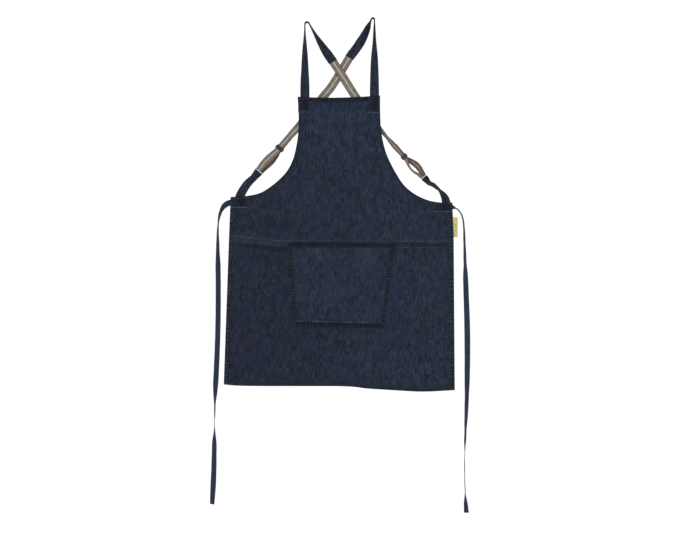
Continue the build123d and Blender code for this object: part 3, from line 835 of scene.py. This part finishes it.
def patch(name, left, right, bottom, top, node, seed, foot):
    """Reinforced corner: a stitched rectangle, rubbed pale along its foot, with painted shade over it and in
    its furrows.
    """
    z = np.linspace(top, bottom, 26)
    width = right - left
    line = np.column_stack([np.full(len(z), (left + right) / 2), z])

    def low_edge(along, v):
        end = along.max()
        edge = np.clip((np.abs(v) - 0.93) / 0.05, 0, 1) * 0.3
        return foot * np.exp(-((end - along - 0.6) / 2.6) ** 2) * (0.85 + 0.25 * np.sin(v * 17 + seed)) + edge

    obj = edge_strip(name, line, width, 1, lambda x, z: hang(x, z) - 0.9, thick=3.0, overlap=width / 2,
                     rows=(-width / 2 + 3.4, width / 2 - 3.4), pitch=9.5, depth=0.6, seed=seed,
                     extra=low_edge, rub=0.45, furrow=1.2, shade=0.35)
    sewn_piece(obj, PATCH_DENIM, "patch_denim", "bib", node)


def patches():
    """The four reinforced corners."""
    patch("left_strap_patch_cloth", -127.2, -92, -275, -228.5, "left_strap_patch", 0.7, 1.0)
    patch("right_strap_patch_cloth", 84, 120.6, -277, -225.5, "right_strap_patch", 1.9, 1.0)
    patch("left_corner_patch_cloth", -331.5, -283, -565, -534, "left_corner_patch", 2.6, 1.0)
    patch("right_corner_patch_cloth", 284, 341.5, -578, -550.5, "right_corner_patch", 3.8, 1.1)


# ================= pocket =================
def pocket_sides(z):
    """x of the pocket's two sides at a height."""
    (left, top), (right, _) = POCKET_TOP
    (foot_left, low_left), (foot_right, low_right) = POCKET_BOTTOM
    return (left + (foot_left - left) * (top - z) / (top - low_left),
            right + (foot_right - right) * (top - z) / (top - low_right))


def on_pocket(x, z):
    """Depth of the pocket's cloth: flush at its sewn sides and foot, standing open towards its top."""
    left, right = pocket_sides(z)
    low = POCKET_BOTTOM[0][1] + (POCKET_BOTTOM[1][1] - POCKET_BOTTOM[0][1]) * np.clip((x + 140) / 274, 0, 1)
    side = np.clip(np.minimum(x - left, right - x) / 26, 0, 1)
    foot = np.clip((z - low) / 46, 0, 1)
    side = side * (2 - side)
    foot = foot * (2 - foot)
    slack = 0.5 * wander(x, z, 88, 5) + 0.25 * wander(x, z, 37, 9)
    full = 3.4 + 2.6 * np.clip((z + 930) / 250, 0, 1)
    return hang(x, z) - 1.5 - (full + slack) * side * foot


def pocket():
    """Pocket cloth, its turned top and foot and its double-stitched sides."""
    v = np.linspace(0, 1, 70)[:, None]
    u = np.linspace(0, 1, 84)[None, :]
    left = np.array(POCKET_TOP[0]) * (1 - v[..., None]) + np.array(POCKET_BOTTOM[0]) * v[..., None]
    right = np.array(POCKET_TOP[1]) * (1 - v[..., None]) + np.array(POCKET_BOTTOM[1]) * v[..., None]
    flat = left * (1 - u[..., None]) + right * u[..., None]
    x, z = flat[..., 0], flat[..., 1]
    points = np.stack([x, on_pocket(x, z), z], -1)
    # The pocket cloth gets painted shade within a few millimetres of its sewn rim.
    edge = np.minimum(np.minimum(u, 1 - u) * 300, np.minimum(v, 1 - v) * 255)
    rub = 0.16 * np.clip(wander(x, z, 120, 2), 0, 1)
    obj = piece("pocket_cloth", points.reshape(-1, 3), grid_faces(70, 84)[:, ::-1].tolist(),
                np.stack([-z + 31, x + 57], -1).reshape(-1, 2),
                {"wear": rub.ravel(), "deep": (0.5 * np.exp(-edge / 9)).ravel()})
    thicken(obj, CLOTH)
    obj.data.materials.append(POCKET_DENIM)
    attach(obj, "skirt")
    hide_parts("pocket")

    top = np.array([POCKET_TOP[0], POCKET_TOP[1]], float) + np.array([[0.3, 0], [-0.3, 0]])
    band("pocket_top_roll", even(top, 150), 15, 1, on_pocket, PATCH_DENIM, "hem_denim", "skirt",
         "pocket_top_hem", seed=7.0, rows=(-5.6,), depth=0.3, rub=0.1, furrow=0.3, shade=0.55,
         extra=lambda along, v: 0.9 * np.exp(-((v - 0.93) / 0.11) ** 2)
         * np.clip((along - 200) / 30, 0, 1) * (0.6 + 0.4 * np.sin(along / 14)))
    foot = even(np.array([POCKET_BOTTOM[0], POCKET_BOTTOM[1]], float) - (0, 3), 130)
    band("pocket_foot_fold", foot, 18, -1, on_pocket, HEM_DENIM, "hem_denim", "skirt", "pocket_bottom_hem",
         seed=8.4, rows=(-6.6, 5.6), depth=0.6, rub=0.35, furrow=2.0, shade=0.75,
         extra=lambda along, v: 1.1 * np.exp(-((v - 0.9) / 0.2) ** 2)
         * (0.6 + 0.4 * np.sin(along / 11 + 1.5 * np.sin(along / 29))))
    for name, a, b, outer, seed in (("left", POCKET_TOP[0], POCKET_BOTTOM[0], -1, 9.1),
                                    ("right", POCKET_TOP[1], POCKET_BOTTOM[1], 1, 10.7)):
        a = (a[0] + (b[0] - a[0]) * 0.056, a[1] - 14)
        band(f"pocket_{name}_seam", even(np.array([a, b], float), 130), 11, outer, on_pocket, HEM_DENIM,
             "pocket_denim", "skirt", seed=seed, rows=(-3.2, 3.2), depth=0.45, pitch=9.6, rub=0.7, furrow=2.2,
             shade=0.5)


apron_cloth()
hems()
patches()
pocket()


# ================= straps, webbing and tabs =================
PEG_X = 100.0
PEG_RISE = 7.0
PEG_FLAT = 7.0
LEFT_DENIM = 140.0
RIGHT_DENIM = 135.0
SEAM_LAP = 20.0


def tape_across(run, roll, turn=1.0):
    """Width direction of a tape that runs along run, rolled from face-on about its own length."""
    run = unit(np.asarray(run, float))
    flat = np.stack([-run[..., 2], 0 * run[..., 0], run[..., 0]], -1)
    angle = np.radians(np.asarray(roll, float))[..., None]
    return flat * np.cos(angle) + np.array([0, turn, 0]) * np.sin(angle)


def soften(values, times):
    """Evens out a run of numbers a little, keeping its ends."""
    for _ in range(times):
        values[1:-1] = 0.25 * values[:-2] + 0.5 * values[1:-1] + 0.25 * values[2:]
    return values


class Strap:
    """Shoulder strap: up from behind the bib, a quarter turn onto its peg, over it and down behind."""

    def __init__(self, side, radius, lean, denim, back_y, foot_z, bow, front_rolls, back_rolls):
        self.peg = np.array([side * PEG_X, BACK + STRAP_THICK / 2, side * PEG_RISE])
        self.reach = radius + STRAP_THICK / 2
        angle = math.radians(lean)
        self.down = np.array([-side * math.sin(angle), 0, -math.cos(angle)])
        out = np.array([-side * math.cos(angle), 0, math.sin(angle)])
        self.leave = self.peg + out * self.reach
        self.denim, self.back_y = denim, back_y
        front_z = np.arange(foot_z, self.peg[2], 3.0)
        front = np.column_stack([np.full(len(front_z), self.peg[0] + side * self.reach),
                                 np.full(len(front_z), self.peg[1]), front_z])
        front[:, 1] += hang(front[:, 0], front_z) * np.clip((-front_z - 205) / 25, 0, 1)
        keys = front_rolls + [(self.peg[2] - PEG_FLAT, 90), (self.peg[2], 90)]
        front_roll = soften(np.interp(front_z, *np.array(keys).T), 6)
        turn = np.linspace(0, math.pi - angle, 12)[:-1]
        arch = self.peg + self.reach * np.column_stack([side * np.cos(turn), 0 * turn, np.sin(turn)])
        along = np.arange(0, denim + 0.1, 3.0)
        back = self.leave + along[:, None] * self.down + np.outer(along * back_y / denim, (0, 1, 0))
        back -= np.outer(bow * np.sin(math.pi * along / denim), out)
        keys = [(0, 90), (PEG_FLAT, 90)] + back_rolls + [(denim, 0)]
        back_roll = soften(np.interp(along, *np.array(keys).T), 6)
        self.centre = np.vstack([front, arch, back])
        over = np.tile([0.0, side, 0.0], (len(arch), 1))
        self.across = np.vstack([tape_across(np.tile([0, 0, 1.0], (len(front), 1)), front_roll, side), over,
                                 tape_across(np.tile(self.down, (len(back), 1)), back_roll, side)])

    def sewn(self, along):
        """Centre and width direction of the webbing sewn behind the denim at a distance down the back leg."""
        lap = (STRAP_THICK + WEB_THICK) / 2
        point = self.leave + self.down * along + np.array([0, self.back_y * along / self.denim + lap, 0])
        return point, tape_across(self.down, 0.0)


LEFT_STRAP = Strap(-1, 6.0, 32.1, LEFT_DENIM, 0.6, -273.5, 2.8,
                   [(-274, 0), (-228, 0), (-185, 15), (-149, 38), (-112, 50), (-85, 60),
                    (-57, 73), (-39, 82)],
                   [(22, 84), (42, 74), (60, 60), (80, 46), (100, 28), (118, 0)])
RIGHT_STRAP = Strap(1, 4.0, 30.0, RIGHT_DENIM, 4.4, -269.5, 6.0,
                    [(-270, 0), (-215, 5), (-185, 15), (-150, 29), (-112, 42), (-85, 57),
                     (-57, 71), (-30, 78)],
                    [(16, 74), (26, 58), (46, 42), (67, 22), (86, 0), (113, 0)])


class Adjuster:
    """The lower end of one webbing, in its slider's own directions."""

    def __init__(self, slider, run, roll, sway):
        self.sway = np.array(sway, float)
        self.slider = np.array(slider, float)
        self.run = unit(np.array([run[0], 0.0, run[1]]))
        angle = math.radians(roll)
        self.normal = np.array([-self.run[2] * math.sin(angle), math.cos(angle),
                                self.run[0] * math.sin(angle)])
        self.across = np.cross(self.run, self.normal)

    def at(self, along, out):
        """A place this far below the slider and out from its face, swaying aside lower down."""
        ease = min(max((along - 8) / 70, 0), 1)
        return self.slider + self.run * along + self.normal * out + self.sway * ease * ease * (3 - 2 * ease)

    def matrix(self, along=0.0, out=0.0):
        """Places a piece modelled with its length on X, its width on Y and its back on Z."""
        place = Matrix.Identity(4)
        for column, axis in enumerate((self.run, -self.across, self.normal)):
            place.col[column][:3] = axis
        place.col[3][:3] = self.at(along, out) * MM
        return place


LEFT_ADJUSTER = Adjuster((-184.0, 9.0, -382.7), (-0.652, -0.758), 38.0, (-7.0, 0.0, -1.0))
RIGHT_ADJUSTER = Adjuster((194.6, 13.5, -408.6), (0.659, -0.752), 65.0, (-1.0, 0.0, 2.0))
LOOP_AT = 82.0
LOOP_R = 5.1
LAYER_STEP = 2.6
RING_AT = 89.2
FOLD_AT = 94.4
FOLD_R = 4.6
# From the slider down, the start and length of the bow in the webbing's front layer and in its back layer.
FRONT_FROM, FRONT_BOW = 8, 74
BACK_FROM, BACK_BOW = 10, 72
# Half the width of a denim strap, and its two stitch rows.
STRAP_SEWING = (14, (-11, 11))


def through(stations, step):
    """Centre line and width directions, evenly spaced, through stations of (point, width direction)."""
    points = np.array([s[0] for s in stations], float)
    sides = np.array([s[1] for s in stations], float)
    line = smooth_line(points, int(lengths(points)[-1] / step) + 2)
    at = lengths(line)
    mark = lengths(points) * at[-1] / lengths(points)[-1]
    across = np.column_stack([np.interp(at, mark, sides[:, k]) for k in range(3)])
    return line, unit(across)


def tilted(across, normal, degrees):
    """The width direction leaned towards the normal."""
    angle = math.radians(degrees)
    return across * math.cos(angle) + normal * math.sin(angle)


def heading(run, roll):
    """Width direction of a tape that runs along (x, z), rolled from face-on."""
    return tape_across(np.array([run[0], 0.0, run[1]]), roll)


def webbing(name, adjuster, stations, front_bow, back_bow, lean, edge_on=0.0):
    """Striped webbing from the denim's end through the slider, round the ring and back to the slider."""
    def place(u, w, twist=0.0):
        return adjuster.at(u, w), tilted(adjuster.across, adjuster.normal, twist)

    path = list(stations)
    for u, turn in ((-47, edge_on), (-36, edge_on), (-24, 0.6 * edge_on), (-12, 0), (0, 0), (8, 0)):
        path.append(place(u, 0, turn))
    for u in (17, 26, 35, 44, 53, 62, 71):
        bow = math.sin(math.pi * (u - FRONT_FROM) / FRONT_BOW)
        path.append(place(u, front_bow * bow ** 1.4, lean * bow))
    for angle in np.radians(np.arange(0, 181, 30)):
        path.append(place(LOOP_AT + LOOP_R * math.sin(angle), LOOP_R * (1 - math.cos(angle))))
    for u in (73, 64, 55, 46, 37, 28, 19):
        share = (u - BACK_FROM) / BACK_BOW
        bow = math.sin(math.pi * share)
        apart = LAYER_STEP + (2 * LOOP_R - LAYER_STEP) * share ** 0.8
        path.append(place(u, apart + back_bow * bow ** 1.2, -lean * bow))
    path += [place(10, LAYER_STEP), place(0, LAYER_STEP), place(-12, 2.0), place(-24, 1.5, 0.6 * edge_on),
             place(-36, 1.4, edge_on), place(-44, 1.4, edge_on)]
    centre, across = through(path, 2.2)

    def relief(along, v, side):
        return 0.16 * np.sin(along / 14.0 + v) + 0.1 * np.sin(along / 5.3) * v * v

    def marks(along, v, side):
        return 0.35 * np.clip((np.abs(v) - 0.93) / 0.06, 0, 1) + 0 * along, 0 * along * v

    obj = strip(name + "_striped", centre, across, WEB_WIDE + 1, WEB_THICK, relief, marks)
    return sewn_piece(obj, STRIPED, "striped_webbing", "bib", name)


def side_tab(name, adjuster, stations):
    """Denim tab: folded round the ring's lower bar, its two layers sewn together down to the corner."""
    loop = [(116, 4.45), (108, 3.7), (102, 2.2)]
    loop += [(FOLD_AT - FOLD_R * math.cos(a), LOOP_R - FOLD_R * math.sin(a))
             for a in np.radians(np.arange(130, -131, -26))]
    loop += [(102, 8.0), (108, 6.5), (116, 5.75)]
    fold = strip(name + "_fold", *through([(adjuster.at(u, w), adjuster.across) for u, w in loop], 1.4), 27.4,
                 1.5, *puckered(*STRAP_SEWING, pitch=9, depth=0.16, seed=2.0))
    sewn_piece(fold, STRAP_DENIM, "strap_denim", "bib")
    path = [(adjuster.at(u, LOOP_R), adjuster.across) for u in (102, 108, 115)] + stations
    tab = strip(name + "_denim", *through(path, 2.4), STRAP_WIDE, 2.9,
                *puckered(*STRAP_SEWING, pitch=10, depth=0.45, seed=1.1, rub=1.3, furrow=1.0))
    return sewn_piece(tab, STRAP_DENIM, "strap_denim", "bib", name)


def striped():
    """Grey-green tape with a cream centre stripe and thin red edges."""
    material, tree, shader = finish("striped_webbing", specular=0.2, sheen=0.06)
    weave = woven_map(tree)
    lines = place_group(tree, TAPE_WEAVE, Weave=weave)
    split = parts(tree, weave)
    off = calc(tree, "ABSOLUTE", split[1])
    ground = blended(tree, spread(tree, lines.outputs["Shade"], 0.15, 0.85), (0.072, 0.092, 0.068, 1),
                     (0.165, 0.195, 0.155, 1))

    def stripe(color, paint, low, high, soft=0.00022):
        rise = spread(tree, off, low - soft, low + soft)
        fall = spread(tree, off, high - soft, high + soft, 1.0, 0.0)
        return blended(tree, times(tree, rise, fall), color, paint)

    color = stripe(ground, (0.30, 0.285, 0.235, 1), 0.0044, 0.0050)
    color = stripe(color, (0.055, 0.075, 0.06, 1), 0.0050, 0.0056)
    color = stripe(color, (0.45, 0.345, 0.30, 1), -0.01, 0.0020)
    color = stripe(color, (0.20, 0.14, 0.115, 1), 0.0020, 0.0024)
    color = stripe(color, (0.24, 0.25, 0.205, 1), 0.0086, 0.0092)
    color = stripe(color, (0.215, 0.020, 0.024, 1), 0.0108, 0.03)
    grime = spread(tree, speckle(tree, weave, (60, 120, 1), detail=4), 0.35, 0.65, 0.82, 1.08)
    color = blended(tree, 1.0, color, grime, "MULTIPLY")
    tree.links.new(color, shader.inputs["Base Color"])
    tree.links.new(spread(tree, lines.outputs["Shade"], 0.0, 1.0, 0.88, 0.7), shader.inputs["Roughness"])
    raised(tree, shader, lines.outputs["Height"], 0.00035)
    return material


STRIPED = striped()


def shoulder_straps():
    """The denim of both shoulder straps, fuller where it lies on its peg."""
    for name, strap, seed in (("left_shoulder_strap", LEFT_STRAP, 0.3),
                              ("right_shoulder_strap", RIGHT_STRAP, 1.6)):
        relief, marks = puckered(*STRAP_SEWING, pitch=9.5, depth=0.3, seed=seed)
        near_peg = np.exp(-((strap.centre[:, 2] - strap.peg[2]) / 34) ** 2)
        away = unit(strap.centre - strap.peg) * np.array([1, 0, 1])
        centre = strap.centre + away * (0.15 * near_peg)[:, None]
        obj = strip(name + "_denim", centre, strap.across, STRAP_WIDE, STRAP_THICK + 0.4 + 1.5 * near_peg,
                    relief, marks)
        sewn_piece(obj, STRAP_DENIM, "strap_denim", "bib", name)


def strap_ends():
    """Both webbings and both tabs, crossed behind the bib."""
    webbing("left_webbing", LEFT_ADJUSTER, [
        RIGHT_STRAP.sewn(RIGHT_DENIM - SEAM_LAP), RIGHT_STRAP.sewn(RIGHT_DENIM),
        ((-20, 7.4, -187), heading((-0.57, -0.82), 0)), ((-49, 7.6, -224), heading((-0.61, -0.79), 0)),
        ((-100, 8.2, -286), heading((-0.62, -0.78), -10)), ((-124, 8.8, -315), heading((-0.64, -0.77), -20))],
        -4.2, 9.5, 8)
    webbing("right_webbing", RIGHT_ADJUSTER, [
        LEFT_STRAP.sewn(LEFT_DENIM - SEAM_LAP), LEFT_STRAP.sewn(LEFT_DENIM),
        ((7.5, 3.4, -164), heading((0.532, -0.847), 0)), ((47.5, 4.0, -227), heading((0.55, -0.835), 0)),
        ((84, 8.0, -280), heading((0.62, -0.785), -14)), ((108, 11.5, -309), heading((0.64, -0.77), -38)),
        ((124, 14.5, -327), heading((0.645, -0.765), -62)),
        ((142, 15.5, -348), heading((0.655, -0.757), -74))],
        -10.5, 6.5, -16, 8)
    side_tab("left_side_tab", LEFT_ADJUSTER, [
        ((-284, 8.0, -494), heading((-0.6, -0.8), -26)), ((-304, 2.0, -529), heading((-0.45, -0.89), -8)),
        ((-309, 2.0, -560), heading((-0.2, -0.98), 0))])
    side_tab("right_side_tab", RIGHT_ADJUSTER, [
        ((283, 11.0, -494), heading((0.74, -0.67), -68)), ((303, 7.5, -511), heading((0.72, -0.69), -80)),
        ((318, 3.2, -532), heading((0.5, -0.87), -45)), ((323, 2.0, -553), heading((0.2, -0.98), -12)),
        ((324, 2.0, -574), heading((0.1, -0.99), 0))])


# ================= hardware =================
def worn_metal(name, enamel, bare, roughness):
    """Dark enamel rubbed through to old brass along its edges."""
    material, tree, shader = finish(name, roughness=roughness, specular=0.5)
    where = tree.nodes.new("ShaderNodeTexCoord").outputs["Object"]
    edge = tree.nodes.new("ShaderNodeNewGeometry").outputs["Pointiness"]
    patina = speckle(tree, where, (400, 400, 400), detail=4, rough=0.65)
    rubbed = times(tree, spread(tree, edge, 0.505, 0.56), spread(tree, patina, 0.35, 0.62))
    color = blended(tree, patina, enamel, tuple(1.9 * c for c in enamel[:3]) + (1,))
    color = blended(tree, rubbed, color, bare)
    tree.links.new(color, shader.inputs["Base Color"])
    tree.links.new(spread(tree, rubbed, 0, 1, 0.15, 0.85), shader.inputs["Metallic"])
    tree.links.new(spread(tree, patina, 0.3, 0.7, roughness - 0.12, roughness + 0.12),
                   shader.inputs["Roughness"])
    raised(tree, shader, patina, 0.0001)
    return material


SLIDER_METAL = worn_metal("slider_enamel", (0.0085, 0.008, 0.005, 1), (0.09, 0.072, 0.04, 1), 0.5)
RING_METAL = worn_metal("ring_enamel", (0.012, 0.011, 0.007, 1), (0.13, 0.105, 0.06, 1), 0.42)


def block(size, centre, bevel):
    """A bevelled block, sizes in millimetres."""
    bpy.ops.object.select_all(action="DESELECT")
    bpy.ops.mesh.primitive_cube_add(size=1, location=(0, 0, 0))
    obj = bpy.context.object
    bpy.ops.object.mode_set(mode="EDIT")
    bpy.ops.mesh.select_all(action="SELECT")
    bpy.ops.transform.resize(value=mm(*size))
    bpy.ops.transform.translate(value=mm(*centre))
    bpy.ops.mesh.bevel(offset=bevel * MM, segments=3, affect="EDGES")
    bpy.ops.object.mode_set(mode="OBJECT")
    return obj


def joined(name, pieces):
    """One smooth object made of several."""
    bpy.ops.object.select_all(action="DESELECT")
    for obj in pieces:
        obj.select_set(True)
    bpy.context.view_layer.objects.active = pieces[0]
    bpy.ops.object.join()
    obj = bpy.context.object
    obj.name = name
    bpy.ops.object.shade_smooth_by_angle(angle=math.radians(50))
    return obj


def settled(obj, matrix, material, slot, body, *nodes):
    """Puts a finished hardware piece in its place."""
    obj.data.transform(matrix)
    obj.data.materials.append(material)
    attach(obj, body)
    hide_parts(*nodes)


def slider(name, adjuster):
    """Flat slider: a front plate with a pressed groove, a back bar and two side rails."""
    plate = block((12, 31, 1.6), (0, 0, -1.75), 0.5)
    bpy.ops.object.mode_set(mode="EDIT")
    bm = bmesh.from_edit_mesh(plate.data)
    for face in bm.faces:
        face.select_set(face.normal.z < -0.99)
    bmesh.update_edit_mesh(plate.data)
    bpy.ops.mesh.inset(thickness=2.4 * MM, depth=-0.45 * MM)
    bpy.ops.mesh.bevel(offset=0.25 * MM, segments=2, affect="EDGES")
    bpy.ops.object.mode_set(mode="OBJECT")
    rails = [block((12, 2.65, 6.3), (0, side * 14.15, 1.3), 0.8) for side in (-1, 1)]
    back = [block((3.4, 31, 1.6), (0, 0, 4.35), 0.5)]
    settled(joined(name + "_frame", [plate] + rails + back), adjuster.matrix(), SLIDER_METAL, "slider_metal",
            name, name)


def ring(name, adjuster):
    """Rectangular wire ring: a torus drawn out to its two bars."""
    bpy.ops.object.select_all(action="DESELECT")
    bpy.ops.mesh.primitive_torus_add(major_radius=2.6 * MM, minor_radius=1.3 * MM, major_segments=32,
                                     minor_segments=14)
    obj = bpy.context.object
    bpy.ops.object.mode_set(mode="EDIT")
    for axis, reach in ((0, 1.7), (1, 13.7)):
        for side in (-1, 1):
            bm = bmesh.from_edit_mesh(obj.data)
            for vert in bm.verts:
                vert.select_set(side * vert.co[axis] > 1e-6)
            bm.select_flush(True)
            bmesh.update_edit_mesh(obj.data)
            move = [0.0, 0.0, 0.0]
            move[axis] = side * reach * MM
            bpy.ops.transform.translate(value=move)
    bpy.ops.object.mode_set(mode="OBJECT")
    obj = joined(name + "_wire", [obj])
    settled(obj, adjuster.matrix(RING_AT, LOOP_R), RING_METAL, "ring_metal", name, name)


def hardware():
    """Both sliders and rings; the slider bars stay the frame's own, in the slider's metal."""
    for side, adjuster in (("left", LEFT_ADJUSTER), ("right", RIGHT_ADJUSTER)):
        slider(side + "_slider", adjuster)
        ring(side + "_ring", adjuster)
        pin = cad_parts[side + "_slider_bar"]
        for slot in pin.material_slots:
            slot.material = SLIDER_METAL


# ================= label =================
def label_cloth():
    """Mustard woven label with plain darker bands."""
    material, tree, shader = finish("mustard_label", specular=0.2, sheen=0.05)
    weave = woven_map(tree)
    lines = place_group(tree, TAPE_WEAVE, Weave=weave, Ribs=5200.0, Yarns=5200.0)
    color = blended(tree, spread(tree, lines.outputs["Shade"], 0.2, 0.8), (0.36, 0.31, 0.085, 1),
                    (0.62, 0.56, 0.26, 1))
    split = parts(tree, weave)
    band = spread(tree, calc(tree, "SINE", times(tree, split[0], 640)), 0.55, 0.75)
    inside = spread(tree, calc(tree, "ABSOLUTE", split[1]), 0.0022, 0.0030, 1.0, 0.0)
    middle = times(tree, spread(tree, split[0], 0.014, 0.016), spread(tree, split[0], 0.045, 0.047, 1.0, 0.0))
    ink = times(tree, times(tree, band, inside), times(tree, middle, 0.6))
    color = blended(tree, ink, color, (0.06, 0.075, 0.05, 1))
    tree.links.new(color, shader.inputs["Base Color"])
    raised(tree, shader, lines.outputs["Height"], 0.0003)
    return material


def label():
    """Small folded label caught in the side seam."""
    z = np.linspace(-593, -654, 50)
    curl = 0.5 * np.sin((z + 593) / 15)
    centre = np.column_stack([np.full(len(z), 350.85), curl, z])
    across = np.column_stack([np.ones(len(z)), 0.06 * np.sin((z + 600) / 13), np.zeros(len(z))])
    obj = strip("side_label_weave", centre, across, 13.7, 0.9,
                lambda along, v, side: 0.06 * np.sin(along / 4.0) * v * v)
    sewn_piece(obj, label_cloth(), "label_weave", "side_label", "side_label")


shoulder_straps()
strap_ends()
hardware()
label()


# ================= thread =================
def stitch():
    """Points and faces of one stitch, pulled into the cloth at both ends. Z is its length, Y is up."""
    bpy.ops.object.select_all(action="DESELECT")
    bpy.ops.mesh.primitive_cylinder_add(vertices=6, radius=0.36 * MM, depth=1.5 * MM)
    obj = bpy.context.object
    bpy.ops.object.mode_set(mode="EDIT")
    for end in (-1, 1):
        bm = bmesh.from_edit_mesh(obj.data)
        for face in bm.faces:
            face.select_set(face.normal.z * end > 0.9)
        bmesh.update_edit_mesh(obj.data)
        bpy.ops.mesh.extrude_region_move(TRANSFORM_OT_translate={"value": (0, -0.30 * MM, end * 0.5 * MM)})
        bpy.ops.transform.resize(value=(0.55, 0.55, 1))
    bpy.ops.object.mode_set(mode="OBJECT")
    points = np.array([v.co for v in obj.data.vertices]) / MM
    faces = [list(p.vertices) for p in obj.data.polygons]
    bpy.data.objects.remove(obj)
    return points, faces


STITCH = stitch()


def thread_cloth(name, dark, light):
    """Cotton thread, uneven along its length."""
    material, tree, shader = finish(name, roughness=0.75, specular=0.25)
    weave = woven_map(tree)
    uneven = speckle(tree, weave, (420, 420, 1), detail=2)
    color = blended(tree, spread(tree, uneven, 0.3, 0.7), dark, light)
    tree.links.new(color, shader.inputs["Base Color"])
    raised(tree, shader, uneven, 0.0002)
    return material


THREAD = thread_cloth("slate_thread", (0.018, 0.026, 0.044, 1), (0.060, 0.078, 0.110, 1))
TACK_THREAD = thread_cloth("navy_tack_thread", (0.005, 0.007, 0.013, 1), (0.013, 0.018, 0.031, 1))


STITCH_PITCH = 3.7
ROW_END = 2.0


def sewn_row(name, v=None, share=None, face=1, begin=2.0):
    """Places of the stitches along a strip at a place across it, or across it at a share of its length."""
    grid = SURFACES[name]
    columns = len(ACROSS)
    if face < 0:
        grid = np.concatenate([grid[:, :1], grid[:, :columns - 1:-1], grid[:, columns - 1:columns]], axis=1)
    grid = grid[:, :columns]
    if share is None:
        k = min(max(np.searchsorted(ACROSS, v), 1), columns - 1)
        part = (v - ACROSS[k - 1]) / (ACROSS[k] - ACROSS[k - 1])
        line = grid[:, k - 1] * (1 - part) + grid[:, k] * part
        across = grid[:, k] - grid[:, k - 1]
    else:
        row = int(share * (len(grid) - 1))
        line = grid[row, 2:columns - 2]
        across = grid[max(row - 1, 0), 2:columns - 2] - grid[row + 1, 2:columns - 2]
    along = lengths(line)
    at = np.arange(begin, along[-1] - ROW_END, STITCH_PITCH)
    place = np.column_stack([np.interp(at, along, line[:, k]) for k in range(3)])
    beside = unit(np.column_stack([np.interp(at, along, across[:, k]) for k in range(3)]))
    run = unit(np.column_stack([np.interp(at + 0.5, along, line[:, k]) for k in range(3)]) - place + 1e-9)
    up = unit(np.cross(run, beside)) * face
    return place + up * 0.12, run, up


def threads(name, rows, body, stretch=1.0, material=THREAD):
    """All the stitches of some rows as one piece of thread."""
    points, faces = STITCH
    place = np.vstack([row[0] for row in rows])
    run = np.vstack([row[1] for row in rows])
    up = np.vstack([row[2] for row in rows])
    side = np.cross(up, run)
    verts = (place[:, None] + side[:, None] * points[None, :, :1] + up[:, None] * points[None, :, 1:2]
             + run[:, None] * points[None, :, 2:] * stretch)
    count = len(points)
    every = [[i + n * count for i in face] for n in range(len(place)) for face in faces]
    flat = verts.reshape(-1, 3)
    obj = piece(name, flat, every, np.stack([-flat[:, 2], flat[:, 0]], -1))
    return sewn_piece(obj, material, "tack_thread", body)


def sewing():
    """Every visible stitch row, front and back, and the pocket's corner tacks."""
    bib = []
    for face in (1, -1):
        bib += [sewn_row("left_armhole_hem", 0.51, face=face),
                sewn_row("right_armhole_hem", -0.51, face=face),
                sewn_row("bib_top_roll", -0.69, face=face), sewn_row("bib_top_roll", 0.67, face=face)]
        for side in ("left", "right"):
            for v in (-0.786, 0.786):
                bib.append(sewn_row(side + "_shoulder_strap_denim", v, face=face))
                bib.append(sewn_row(side + "_side_tab_denim", v, face=face))
    for name in ("left_strap_patch_cloth", "right_strap_patch_cloth", "left_corner_patch_cloth",
                 "right_corner_patch_cloth"):
        bib += [sewn_row(name, v) for v in (-0.84, 0.84)]
        bib += [sewn_row(name, share=share) for share in (0.10, 0.88)]
    threads("bib_stitches", bib, "bib")
    threads("skirt_stitches", [sewn_row("bottom_hem_roll", 0.63, face=face) for face in (1, -1)], "skirt")
    crossing = []
    for face in (1, -1):
        crossing += [sewn_row("left_side_hem", 0.56, face=face), sewn_row("right_side_hem", -0.71, face=face),
                     sewn_row("right_side_hem", 0.61, face=face), sewn_row("waist_seam", 0.72, face=face),
                     sewn_row("waist_seam", -0.78, face=face, begin=496)]
    threads("side_and_waist_stitches", crossing, "both")
    rows = [sewn_row("pocket_top_roll", -0.75), sewn_row("pocket_foot_fold", -0.72),
            sewn_row("pocket_foot_fold", 0.69)]
    rows += [sewn_row(name, v) for name in ("pocket_left_seam", "pocket_right_seam") for v in (-0.58, 0.58)]
    threads("pocket_stitches", rows, "skirt")

    places = []
    for x in (POCKET_TOP[0][0] + 9, POCKET_TOP[1][0] - 9):
        for z in (-674.5, -683.5):
            for step in np.arange(-4.4, 4.5, 0.8):
                places.append((x + step, float(on_pocket(x + step, z)) - 2.0, z))
    count = len(places)
    tack = threads("pocket_tack_threads",
                   [(np.array(places), np.tile([0, 0, 1.0], (count, 1)), np.tile([0, -1.0, 0], (count, 1)))],
                   "skirt", stretch=1.25, material=TACK_THREAD)
    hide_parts("pocket_bar_tacks")


sewing()
